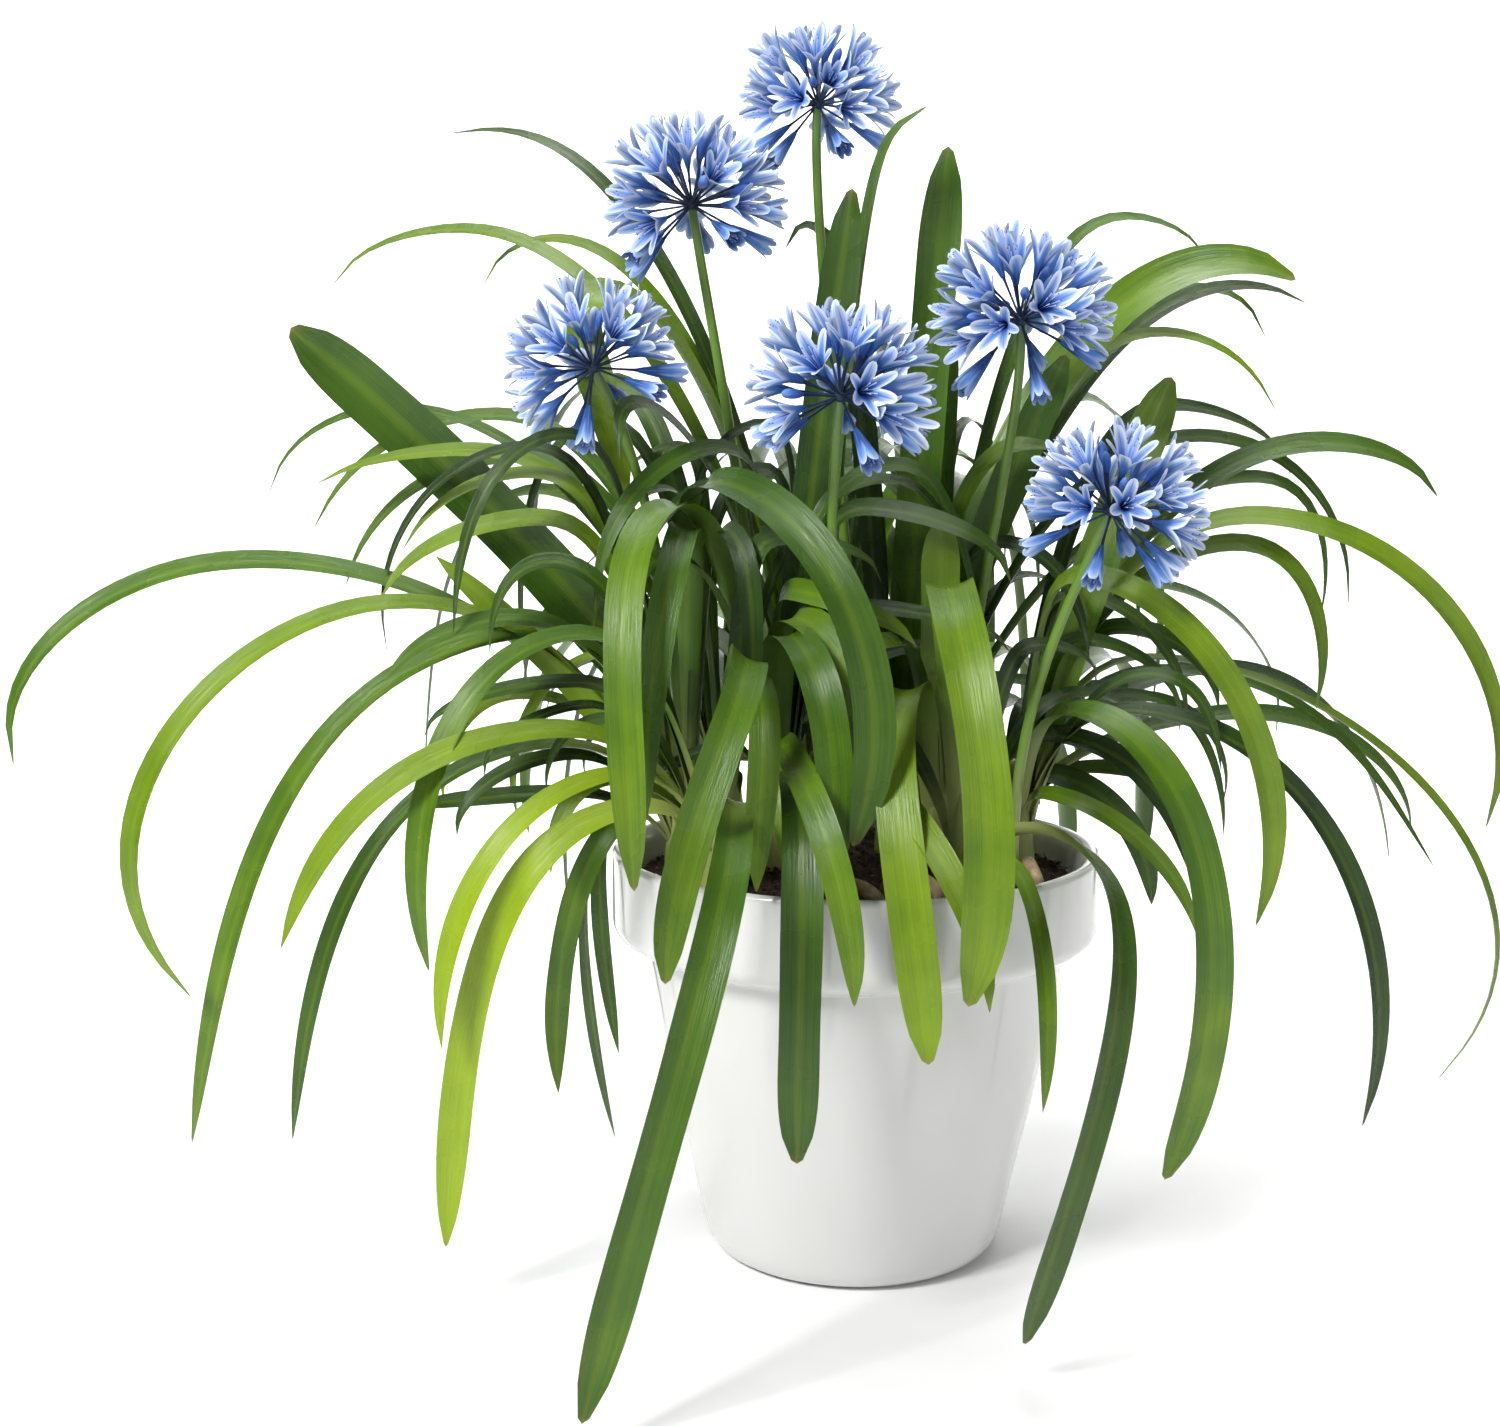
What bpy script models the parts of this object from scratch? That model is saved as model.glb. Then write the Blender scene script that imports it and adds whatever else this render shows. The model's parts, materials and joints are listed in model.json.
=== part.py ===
"""An agapanthus in a glazed pot: leafy crowns in soil, flower stems and blue flower heads."""
import math
import random

import bmesh
import bpy
from mathutils import Matrix, Vector, noise
from mathutils.bvhtree import BVHTree

CM = 0.01
MM = 0.001
GAP = 0.3 * MM
UP = Vector((0.0, 0.0, 1.0))

# Pot: radius and height of each corner, from the middle of its inner floor over the rim to the base
POT_PROFILE = (
    (0.0, 1.2), (8.3, 1.2), (9.5, 2.6), (13.9, 20.8), (15.2, 22.8), (15.9, 28.1), (16.2, 28.7),
    (16.8, 28.85), (17.1, 28.2), (17.1, 24.3), (16.7, 23.2), (15.9, 22.6), (14.95, 22.1),
    (13.5, 14.2), (11.7, 6.3), (10.6, 2.0), (9.8, 0.5), (8.8, 0.0), (0.0, 0.0))
POT_STEPS = 32

# Soil: it follows the pot's inner wall, a gap away, up to a mounded lumpy top
INNER_CORNERS = POT_PROFILE[1:5]
SOIL_GAP = 0.04
SOIL_RINGS = (12.8, 9.2, 5.2)
SOIL_TOP = 28.0
SOIL_EDGE = 26.6
SOIL_LUMPS = 0.35
LUMPS_PER_METRE = 28.0
LUMPS_REACH = 15.0
HOLE_FLOOR = 24.6
HOLE_TOP = 34.0
HOLE_WIDENING = 1.06

# Crowns: where the foot of each fan of leaves stands, and the turned shape of its short stem
CROWNS = {
    "left": (-12.0, -1.0), "left_front": (-9.7, -7.5), "mid_left": (-5.6, -1.0),
    "mid": (3.0, 4.0), "mid_right": (5.8, 0.5), "right_front": (7.1, -6.0), "right": (11.3, 0.0),
    "back_left": (-9.0, 6.0), "back": (-2.0, 10.0), "back_right": (5.5, 9.5),
    "far_right": (11.0, 5.5), "inner": (-2.5, 4.2)}
CROWN_RADIUS = 1.4
CROWN_TOP = 35.0
CROWN_FOOT = HOLE_FLOOR + 0.03
CROWN_PROFILE = ((0.0, CROWN_TOP), (0.7, 34.7), (1.05, 31.5), (CROWN_RADIUS, 28.2),
                 (CROWN_RADIUS, CROWN_FOOT), (0.0, CROWN_FOOT))
CROWN_STEPS = 8
LEAF_FOOT = 29.5
LEAF_ROLL = 46
NARROW_LEAF = 14 * MM
BROAD_LEAF = 26 * MM
TIP_SHIFT = 0.5
PIECE_LENGTH = 8.4 * CM
FEWEST_PIECES, MOST_PIECES = 4, 9

# Leaves by crown: width in mm, then in cm the highest point (none on a leaf that only rises)
# and the tip, then how far the fall swings out beyond the tip, and on some how many cm the fall
# bows to the right
LEAVES = {
    "mid_right": (
        (28, (3.2, -5, 41), (3, -19, 19), 0.0, -0.6), (26, None, (5.5, -3, 52), 0.0),
        (18, (2.5, -5, 44), (-0.5, -9, 43.5), 0.0)),
    "right_front": (
        (31, (5.5, -8, 48.5), (6, -20, 23), 0.1, 2.4),
        (26, (12, -10, 32), (9.5, -23, 2.5), 0.5, 2.2),
        (12, (9, -11, 30.5), (11, -18, 15.5), 0.3)),
    "left": (
        (28, (-10.5, -5, 55), (0.5, -14, 32), 0.1, 2.6),
        (19, (-42, 0, 49), (-58, -3, 35), 0.3), (19, (-31, -4, 46.5), (-45, -8, 20), 1.0),
        (14, (-22, 2, 55), (-31.5, 0, 49.5), -0.2), (17, (-21, -1, 52), (-32.5, -3, 46.5), -0.1),
        (16, (-23, -5, 45.5), (-31.5, -8, 41.5), -0.2), (18, None, (-28.5, -4, 49.5), 0.0),
        (20, (-20.5, -3, 44.5), (-46, -6, 9), -0.15), (18, (-20, -2, 36.5), (-39.5, -4, 8.5), -0.1),
        (17, (-14, -5, 33), (-20.5, -7, 13), 0.1), (14, (-15, 0, 33), (-17, -2, 8), 0.5),
        (13, (-16.5, 1, 42.5), (-23.5, -2, 31), 0.3), (12, (-23.5, 1, 39.5), (-29, 0, 31.5), 0.1),
        (20, (-11.5, -7, 52), (-14, -16, 33.5), 0.1)),
    "left_front": (
        (18, (-20, -12, 39), (-37.5, -14, 25), -0.2), (20, (-18, -9, 45), (-28, -14, 23.5), 0.3),
        (16, (-15.5, -11, 36), (-27, -16, 19), 0.1), (22, (-14.5, -12, 34), (-27.5, -13, 4.5), -0.1),
        (14, (-16.5, -8, 35), (-20.5, -10, 29), 0.0), (27, (-8.5, -14, 35), (-17, -32, 2), -0.2, 1.8),
        (25, (-7.5, -12, 44), (-12.5, -22, 25), 0.0), (20, (-7.5, -11, 42.5), (-7, -17, 29.5), 0.0)),
    "mid_left": (
        (26, (-6.5, -11, 36), (-8.5, -20, 13), 0.1), (24, (-12, -8, 53.5), (-14.5, -19, 30), 0.1),
        (18, (-12.5, -9, 50), (-15, -12, 47), 0.1), (16, (-6.5, -6, 37.5), (-4.5, -13, 28), 0.0),
        (24, (-4.5, -7, 46), (0, -12, 33.5), 0.1, 1.0),
        (25, (-5, -9, 45), (-2.5, -15, 29.5), 0.1, 0.8), (20, (-5.5, -10, 38), (-1, -20, 23), 0.1),
        (17, (-4.5, -5, 47.5), (4.5, -8, 44), 0.0), (27, None, (-0.5, 0, 74), 0.0)),
    "mid": (
        (18, (-2, -10, 35), (1.5, -20, 22.5), 0.1), (26, None, (14.5, 2, 63), 0.0),
        (20, (11, 0, 55), (14, 0, 54.5), 0.0), (36, (27.5, 9, 70), (32, 9, 68.5), 0.0),
        (16, (-4, 7, 73), (-5.5, 6, 70.5), 0.0), (16, None, (-1, 4, 71.5), 0.0),
        (30, None, (6.5, 6, 77.5), 0.0)),
    "right": (
        (27, (14, -5, 39.5), (20.5, -10, 8), 0.35, 2.0), (20, (14, -3, 48.5), (26.5, -8, 25), 0.4),
        (19, (18, -2, 39), (35.5, -4, 9.5), 0.3), (14, (19.5, 3, 42), (43, 3, 10.5), 0.9),
        (30, None, (22, 3, 61.5), 0.0), (18, (13, -1, 37), (24.5, -3, 24.5), -0.2),
        (12, (13, -5, 33.5), (22.5, -8, 24.5), -0.1)),
    "far_right": (
        (20, (27.5, 2, 52), (44.5, 0, 30), 0.35), (20, (33.5, 6, 57), (42, 6, 53), 0.0),
        (17, (27.5, 4, 50), (33, 3, 38), 0.3), (18, (13.5, 3, 33.5), (21.5, 2, 24), 0.0),
        (12, (22, 7, 40.5), (43.5, 7, 25.5), -0.4), (10, (20, 5, 39), (27, 4, 28.5), 0.0)),
    "back_left": (
        (42, None, (-40, 6, 65), 0.0), (10, (-33, 8, 59.5), (-42.5, 8, 53), 0.0),
        (14, (-26.5, 4, 56.5), (-38, 3, 54), -0.2), (15, (-25.5, 10, 59), (-39.5, 9, 50.5), -0.2),
        (14, (-23.5, 7, 56), (-36.5, 5, 46.5), -0.1), (14, (-15.5, 5, 32), (-17, 3, 12.5), 0.4)),
    "inner": (
        (14, (-29, 10, 72.5), (-39, 10, 68), 0.1), (17, (-16.5, -1, 60), (-17.5, -3, 56), 0.0),
        (26, (-17, 0, 68), (-13.5, -5, 53), 0.0), (22, (3, 1, 79), (4.6, 1, 79.5), 0.0)),
    "back": (
        (14, (-26.5, 15, 80), (-30, 15, 79.5), 0.0), (13, (-22, 13, 72), (-27.5, 14, 68), 0.1)),
    "back_right": (
        (13, (25, 8, 57.5), (36.5, 8, 45), 0.1), (13, (30.5, 10, 54.5), (35, 10, 43.5), 0.3),
        (13, (19.5, 12, 73.5), (26.5, 12, 70), 0.0), (16, (29, 13, 68.5), (34, 13, 67), 0.0),
        (15, (27, 15, 68.5), (31.5, 15, 64.5), 0.0), (12, (22, 10, 65), (31, 9, 59), -0.2),
        (20, None, (7, 8, 67), 0.0))}

# Leaves of the side away from the viewer, drawn by a rule: crown, how many, middle bearing, spread
BACK_FANS = (("back_left", 5, -145, 35), ("back", 8, -180, 45), ("back_right", 6, 155, 30),
             ("far_right", 4, 125, 25), ("inner", 1, -120, 10), ("mid", 1, 165, 25))
BACK_SEED = 7

# Flower heads in cm: knob, tilt of the axis to the right and to the viewer in degrees, radius,
# then the foot of the stem in the soil
HEADS = (
    ((-11.4, 3.0, 73.2), -8, 5, 6.8, (-6.2, 4.6)), ((-17.8, -4.0, 62.0), -28, 10, 6.3, (-12.3, 3.0)),
    ((10.5, -4.0, 65.1), -4, 12, 6.6, (7.6, 3.8)), ((-1.6, -9.0, 60.1), 6, 14, 6.6, (-1.6, -2.6)),
    ((16.1, -8.0, 52.7), 22, 12, 6.4, (10.6, -4.6)), ((-2.7, 5.0, 80.2), 4, 4, 5.9, (0.4, 7.2)))
SCAPE_RADIUS = 4.2 * MM
KNOB_RADIUS = 7.5 * MM
FLORETS = 16
DROOPING = 3
BUDS = 3
DOME_ANGLE = 104
GOLDEN_TURN = math.pi * (3.0 - math.sqrt(5.0))

# Flowers as shares of the head's radius: length of the stalk, then of the flower, and of a mouth
OPEN_SHARES = (0.50, 0.52, 0.27)
BUD_SHARES = (0.42, 0.22)
SPENT_SHARES = (0.50, 0.44)
BUD_RADIUS = 3.2 * MM
SPENT_RADIUS = 4.0 * MM

# Fleshy roots that arch out of the soil and back in: two ends in cm, and height of the arch
ROOTS = (((-4.4, -7.6), (-1.4, -10.6), 1.9), ((-3.0, -10.9), (1.0, -13.2), 1.6),
         ((1.6, -9.2), (5.0, -11.2), 1.7), ((12.0, -4.6), (11.9, -7.6), 1.5))
ROOT_RADIUS = 5.0 * MM
ROOT_FLOOR = 25.4
ROOT_RISE = 27.4


def clear_scene():
    """Start from an empty file."""
    for obj in list(bpy.data.objects):
        bpy.data.objects.remove(obj, do_unlink=True)


def new_collection(name):
    """A collection linked under the scene."""
    made = bpy.data.collections.new(name)
    bpy.context.scene.collection.children.link(made)
    return made


def material(name, color, roughness, coat=0.0):
    """A plain Principled material."""
    made = bpy.data.materials.new(name)
    made.use_nodes = True
    shader = made.node_tree.nodes["Principled BSDF"]
    shader.inputs["Base Color"].default_value = (*color, 1.0)
    shader.inputs["Roughness"].default_value = roughness
    shader.inputs["Metallic"].default_value = 0.0
    shader.inputs["Coat Weight"].default_value = coat
    return made


def link(name, mesh, collection):
    """An object for a mesh, in a collection."""
    made = bpy.data.objects.new(name, mesh)
    collection.objects.link(made)
    return made


def mesh_object(name, vertices, faces, collection):
    """A closed mesh from points and faces, turned to face outwards."""
    mesh = bpy.data.meshes.new(name)
    mesh.from_pydata([tuple(v) for v in vertices], [], faces)
    work = bmesh.new()
    work.from_mesh(mesh)
    bmesh.ops.recalc_face_normals(work, faces=work.faces)
    work.to_mesh(mesh)
    work.free()
    return link(name, mesh, collection)


def freeze(obj, weld=0.02 * MM):
    """Turn an object with modifiers, or a curve, into a plain mesh object, welded unless told not to."""
    graph = bpy.context.evaluated_depsgraph_get()
    mesh = bpy.data.meshes.new_from_object(obj.evaluated_get(graph))
    work = bmesh.new()
    work.from_mesh(mesh)
    if weld:
        bmesh.ops.remove_doubles(work, verts=work.verts, dist=weld)
    work.to_mesh(mesh)
    work.free()
    made = bpy.data.objects.new(obj.name, mesh)
    obj.users_collection[0].objects.link(made)
    made.matrix_world = obj.matrix_world
    name = obj.name
    bpy.data.objects.remove(obj, do_unlink=True)
    made.name = name
    return made


def lathe(name, profile, steps, collection, centre=(0.0, 0.0)):
    """A turned solid from a profile in cm that runs down its outer side."""
    mesh = bpy.data.meshes.new(name)
    points = [(radius * CM, 0.0, height * CM) for radius, height in profile]
    mesh.from_pydata(points, [(i, i + 1) for i in range(len(points) - 1)], [])
    made = link(name, mesh, collection)
    screw = made.modifiers.new("turn", "SCREW")
    screw.angle = math.tau
    screw.steps = screw.render_steps = steps
    screw.use_merge_vertices = True
    screw.merge_threshold = 0.0001
    made.location = (centre[0] * CM, centre[1] * CM, 0.0)
    return made


def unite(target, collection):
    """Fuse every object of a collection into the target and remove the objects."""
    fuse = target.modifiers.new("fuse", "BOOLEAN")
    fuse.operation = "UNION"
    fuse.operand_type = "COLLECTION"
    fuse.collection = collection
    fuse.solver = "MANIFOLD"
    made = freeze(target, 0.0)
    keep_largest(made)
    for obj in list(collection.objects):
        bpy.data.objects.remove(obj, do_unlink=True)
    bpy.data.collections.remove(collection)
    return made


def keep_largest(obj):
    """Drop the skins of hollows that fusing sealed, so that the body is solid."""
    work = bmesh.new()
    work.from_mesh(obj.data)
    left, islands = set(work.verts), []
    while left:
        stack, island = [left.pop()], []
        while stack:
            vertex = stack.pop()
            island.append(vertex)
            near = [edge.other_vert(vertex) for edge in vertex.link_edges]
            stack += [v for v in near if v in left]
            left.difference_update(near)
        islands.append(island)
    islands.sort(key=len)
    spare = [vertex for island in islands[:-1] for vertex in island]
    bmesh.ops.delete(work, geom=spare, context="VERTS")
    work.to_mesh(obj.data)
    work.free()


def bezier(points, t):
    """A point on a cubic curve."""
    a, b, c, d = points
    s = 1.0 - t
    return s * s * s * a + 3 * s * s * t * b + 3 * s * t * t * c + t * t * t * d


def level(vector):
    """The unit vector of a direction's level part."""
    flat = Vector((vector.x, vector.y, 0.0))
    return flat.normalized() if flat.length > 1e-6 else Vector((0.0, -1.0, 0.0))


def leaf_curves(foot, apex, tip, swing, bow):
    """The cubic curves of a leaf: one rise, and one fall where it has a highest point."""
    if apex is None:
        span = tip - foot
        lean = level(span) * (0.15 * math.hypot(span.x, span.y))
        return [(foot, foot + UP * 0.35 * span.z + lean, foot + span * 0.72 + UP * 0.08 * span.z, tip)]
    out, down = level(apex - foot), level(tip - apex)
    heading = (out * 0.6 + down * 0.4).normalized()
    reach = math.hypot(apex.x - foot.x, apex.y - foot.y)
    drop = apex.z - tip.z
    throw = math.hypot(tip.x - apex.x, tip.y - apex.y)
    rise = (foot, foot + UP * 0.5 * (apex.z - foot.z) + out * 0.12 * reach,
            apex - heading * max(0.5 * reach, 1.5 * CM), apex)
    aside = Vector((4 / 3 * bow, 0.0, 0.0)) * CM
    fall = (apex, apex + heading * (0.5 * throw + 0.18 * drop) + aside,
            tip + UP * 0.42 * drop + down * swing * (0.35 * throw + 0.2 * drop) + aside, tip)
    return [rise, fall]


def leaf_line(foot, apex, tip, swing, bow, pieces):
    """Points at equal steps along a leaf's midline."""
    dense = [bezier(curve, i / 24) for curve in leaf_curves(foot, apex, tip, swing, bow)
             for i in range(25)]
    lengths = [0.0]
    for before, after in zip(dense, dense[1:]):
        lengths.append(lengths[-1] + (after - before).length)
    line = []
    for i in range(pieces + 1):
        goal = lengths[-1] * i / pieces
        at = max(1, next((k for k, v in enumerate(lengths) if v >= goal - 1e-9), len(dense) - 1))
        part = (goal - lengths[at - 1]) / max(lengths[at] - lengths[at - 1], 1e-9)
        line.append(dense[at - 1].lerp(dense[at], part))
    return line


def leaf_width(t, width):
    """Share of the full width along a leaf, from a clasping foot to a tip that is blunt on broad leaves."""
    spread = min(t / 0.4, 1.0)
    body = 0.55 + 0.45 * spread * spread * (3 - 2 * spread)
    blunt = min(1.0, max(0.0, (width - NARROW_LEAF) / (BROAD_LEAF - NARROW_LEAF)))
    taper = 0.68 + 0.16 * blunt
    point = max(0.0, (t - taper) / (1.0 - taper))
    return body * (1.0 - point ** 2.4)


def side_vectors(line, rises):
    """A side direction at each point of a midline, carried along it.

    A leaf that only rises faces the front, and one that arches rolls a little towards it.
    """
    last = len(line) - 1
    tangents = [(line[min(i + 1, last)] - line[max(i - 1, 0)]).normalized() for i in range(last + 1)]
    heading = level(line[-1] - line[0])
    side = Vector((1.0, 0.0, 0.0)) if rises else heading.cross(UP).normalized()
    roll = 0.0 if rises else math.radians(LEAF_ROLL) * heading.x
    sides = []
    for i, tangent in enumerate(tangents):
        side = (side - tangent * side.dot(tangent)).normalized()
        turn = roll * min(1.0, 1.6 * i / last)
        sides.append(Matrix.Rotation(turn, 3, tangent) @ side)
    return tangents, sides


def blade(foot, apex, tip, swing, bow, width, grow=0.0):
    """Points and faces of one strap leaf: a shallow channel with a thicker middle."""
    reach = (tip - foot).length if apex is None else (apex - foot).length + (tip - apex).length
    pieces = max(FEWEST_PIECES, min(MOST_PIECES, round(reach / PIECE_LENGTH)))
    line = leaf_line(foot, apex, tip, swing, bow, pieces)
    tangents, sides = side_vectors(line, apex is None)
    line[-2] = line[-2].lerp(line[-1], TIP_SHIFT)
    thick = 0.8 * MM + 0.035 * width + grow
    points, faces = [], []
    for i in range(pieces):
        t = (i if i < pieces - 1 else i + TIP_SHIFT) / pieces
        half = 0.5 * width * leaf_width(t, width) + grow
        above = sides[i].cross(tangents[i])
        dip = above * (-(0.32 - 0.2 * t) * half)
        mid = line[i] + dip * 0.5
        points += [line[i] - dip * 0.5 - sides[i] * half, mid + above * thick * 0.5,
                   line[i] - dip * 0.5 + sides[i] * half, mid - above * thick * 0.5]
    points.append(line[-1])
    for i in range(pieces - 1):
        a, b = 4 * i, 4 * i + 4
        for edge in (0, 2):
            for middle in (1, 3):
                faces.append((a + edge, a + middle, b + middle))
                faces.append((a + edge, b + middle, b + edge))
    last = 4 * (pieces - 1)
    for k in range(4):
        faces.append((last + k, last + (k + 1) % 4, len(points) - 1))
    faces += [(0, 1, 3), (1, 2, 3)]
    return points, faces


def tree_of(points, faces):
    """A search tree for overlap tests."""
    return BVHTree.FromPolygons([tuple(p) for p in points], faces)


def turned(point, foot, angle, lift):
    """A point turned about a crown's upright axis and lifted."""
    if point is None:
        return None
    spun = Matrix.Rotation(math.radians(angle), 3, "Z") @ (point - foot)
    return foot + spun + UP * lift


def scape_line(head):
    """The route of a flower stem, from its hole to just under the knob."""
    knob, _, _, _, foot = head
    low = Vector((foot[0], foot[1], HOLE_FLOOR + 0.03)) * CM
    top = Vector(knob) * CM - head_axis(head) * (KNOB_RADIUS * 0.96 + GAP)
    upright = low + UP * 5.0 * CM
    bend = (upright, upright + UP * 0.4 * (top.z - upright.z), top - head_axis(head) * 8 * CM, top)
    return [low] + [bezier(bend, i / 6) for i in range(7)]


def head_axis(head):
    """The direction that a flower head faces."""
    right, near = math.radians(head[1]), math.radians(head[2])
    return Vector((math.sin(right), -math.sin(near), math.cos(right) * math.cos(near))).normalized()


def tube_shape(line, radius, sides=6):
    """Points and faces of a rough tube, for overlap tests only."""
    points, faces = [], []
    for i, centre in enumerate(line):
        ahead = (line[min(i + 1, len(line) - 1)] - line[max(i - 1, 0)]).normalized()
        across = ahead.cross(Vector((0.0, 1.0, 0.0)) if abs(ahead.z) > 0.8 else UP).normalized()
        other = ahead.cross(across)
        for k in range(sides):
            angle = math.tau * k / sides
            points.append(centre + (across * math.cos(angle) + other * math.sin(angle)) * radius)
    for i in range(len(line) - 1):
        for k in range(sides):
            a, b = i * sides + k, i * sides + (k + 1) % sides
            faces.append((a, b, b + sides, a + sides))
    return points, faces


def turned_shape(profile, steps):
    """Points and faces of a turned skin, for overlap tests only."""
    points, faces = [], []
    for radius, height in profile:
        ring = [(radius * math.cos(math.tau * k / steps), radius * math.sin(math.tau * k / steps))
                for k in range(steps)]
        points += [Vector((x, y, height)) * CM for x, y in ring]
    for i in range(len(profile) - 1):
        for k in range(steps):
            a, b = i * steps + k, i * steps + (k + 1) % steps
            faces.append((a, b, b + steps, a + steps))
    return points, faces


def ball_shape(centre, radius):
    """Points and faces of a rough ball, for overlap tests only."""
    work = bmesh.new()
    bmesh.ops.create_icosphere(work, subdivisions=2, radius=radius, matrix=Matrix.Translation(centre))
    points = [v.co.copy() for v in work.verts]
    faces = [tuple(v.index for v in f.verts) for f in work.faces]
    work.free()
    return points, faces


def back_leaves():
    """The rows of the far side, drawn by the rule."""
    draw = random.Random(BACK_SEED)
    rows = []
    for crown, count, bearing, spread in BACK_FANS:
        x, y = CROWNS[crown]
        for i in range(count):
            angle = math.radians(bearing + spread * (2 * (i + 0.5) / count - 1) + draw.uniform(-6, 6))
            away = Vector((math.sin(angle), -math.cos(angle), 0.0))
            rise = draw.uniform(36, 66)
            reach = draw.uniform(10, 20)
            apex = Vector((x, y, rise)) + away * reach
            tip = apex + away * draw.uniform(8, 20) - UP * draw.uniform(0.25, 0.8) * (rise - 6)
            rows.append((crown, draw.uniform(15, 26), tuple(apex), tuple(tip), draw.uniform(-0.1, 0.3)))
    return rows


def leaf_rows():
    """Every leaf as crown, width, highest point, tip, swing and bow."""
    rows = [(crown, *row) for crown, group in LEAVES.items() for row in group] + back_leaves()
    return [row if len(row) == 6 else (*row, 0.0) for row in rows]


STEM_KEEP_OUT = SCAPE_RADIUS + 1.5 * MM
KNOB_KEEP_OUT = 26 * MM
CROWN_KEEP_OUT = 12 * MM
LEAF_CLEARANCE = 0.7 * MM
LEAF_LOWEST = 3.0 * MM
NUDGES = sorted(((turn, lift) for turn in range(-24, 25, 2) for lift in (-2.0, -1.0, 0.0, 1.0, 2.0)),
                key=lambda pair: (abs(pair[0]) + 3 * abs(pair[1]), pair))


def obstacles():
    """Stems, knobs and the pot, which no leaf may cross."""
    found = []
    for head in HEADS:
        found.append(("stem", tree_of(*tube_shape(scape_line(head), STEM_KEEP_OUT))))
        found.append(("stem", tree_of(*ball_shape(Vector(head[0]) * CM, KNOB_KEEP_OUT))))
    for crown, (x, y) in CROWNS.items():
        line = [Vector((x, y, height)) * CM for height in (27.0, 31.0, CROWN_TOP)]
        found.append((crown, tree_of(*tube_shape(line, CROWN_KEEP_OUT, CROWN_STEPS))))
    found.append(("pot", tree_of(*turned_shape(POT_PROFILE, POT_STEPS))))
    return found


def settle_leaves():
    """Give each leaf a place where it crosses nothing of another crown, by the smallest nudge."""
    placed = obstacles()
    settled = []
    for crown, width, apex, tip, swing, bow in leaf_rows():
        x, y = CROWNS[crown]
        middle = Vector((x, y, LEAF_FOOT)) * CM
        apex_m = Vector(apex) * CM if apex else None
        tip_m = Vector(tip) * CM
        for turn, lift in NUDGES:
            high = turned(apex_m, middle, turn, lift * CM)
            end = turned(tip_m, middle, turn, lift * CM)
            foot = middle + level((high or end) - middle) * 0.4 * CM
            shape = blade(foot, high, end, swing, bow, width * MM, grow=LEAF_CLEARANCE)
            if min(p.z for p in shape[0]) < LEAF_LOWEST:
                continue
            tree = tree_of(*shape)
            if not any(owner != crown and tree.overlap(other) for owner, other in placed):
                placed.append((crown, tree))
                settled.append((crown, foot, high, end, swing, bow, width * MM))
                break
        else:
            print("no free place for a leaf of", crown, tip)
    return settled, placed


def make_pot(parts):
    """The glazed pot, with a rolled rim and a stepped band."""
    pot = lathe("pot", POT_PROFILE, POT_STEPS, parts)
    pot.data.materials.append(material("pot", (0.86, 0.85, 0.83), 0.14, 0.6))
    return pot


def make_soil(parts, cutters):
    """The root ball: a lumpy mound with a plain hole for each crown, stem and root."""
    (low_r, low_z), (high_r, high_z) = POT_PROFILE[4:6]
    edge = low_r + (high_r - low_r) * (SOIL_EDGE - low_z) / (high_z - low_z) - SOIL_GAP
    profile = [(0.0, SOIL_TOP)]
    for radius in reversed(SOIL_RINGS):
        profile.append((radius, SOIL_EDGE + (SOIL_TOP - SOIL_EDGE) * (1 - (radius / edge) ** 2)))
    profile.append((edge, SOIL_EDGE))
    profile += [(r - SOIL_GAP, z + SOIL_GAP) for r, z in reversed(INNER_CORNERS)]
    profile.append((0.0, INNER_CORNERS[0][1] + SOIL_GAP))
    soil = freeze(lathe("soil", profile, POT_STEPS, parts))
    soil.data.materials.append(material("soil", (0.045, 0.028, 0.018), 0.95))
    for vertex in soil.data.vertices:
        radius = math.hypot(vertex.co.x, vertex.co.y)
        if vertex.co.z > SOIL_EDGE * CM + MM and radius < LUMPS_REACH * CM:
            vertex.co.z += SOIL_LUMPS * CM * noise.noise(vertex.co * LUMPS_PER_METRE)
    holes = [(x, y, CROWN_RADIUS * CM, HOLE_FLOOR) for x, y in CROWNS.values()]
    holes += [(*head[4], SCAPE_RADIUS, HOLE_FLOOR) for head in HEADS]
    holes += [(*end, ROOT_RADIUS, ROOT_FLOOR) for root in ROOTS for end in root[:2]]
    for x, y, radius, floor in holes:
        wide = (radius * HOLE_WIDENING + 1.6 * GAP) / CM
        profile = ((0.0, HOLE_TOP), (wide, HOLE_TOP), (wide, floor), (0.0, floor))
        freeze(lathe("hole", profile, CROWN_STEPS, cutters, (x, y)))
    cut = soil.modifiers.new("holes", "BOOLEAN")
    cut.operation = "DIFFERENCE"
    cut.operand_type = "COLLECTION"
    cut.collection = cutters
    cut.solver = "MANIFOLD"
    soil = freeze(soil, 0.0)
    for obj in list(cutters.objects):
        bpy.data.objects.remove(obj, do_unlink=True)
    return soil


def tube(name, line, radius, collection, resolution=1):
    """A round rod along a line of points."""
    curve = bpy.data.curves.new(name, "CURVE")
    curve.dimensions = "3D"
    curve.bevel_depth = radius
    curve.bevel_resolution = resolution
    curve.use_fill_caps = True
    spline = curve.splines.new("POLY")
    spline.points.add(len(line) - 1)
    for point, place in zip(spline.points, line):
        point.co = (*place, 1.0)
    made = bpy.data.objects.new(name, curve)
    collection.objects.link(made)
    return freeze(made)


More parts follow.
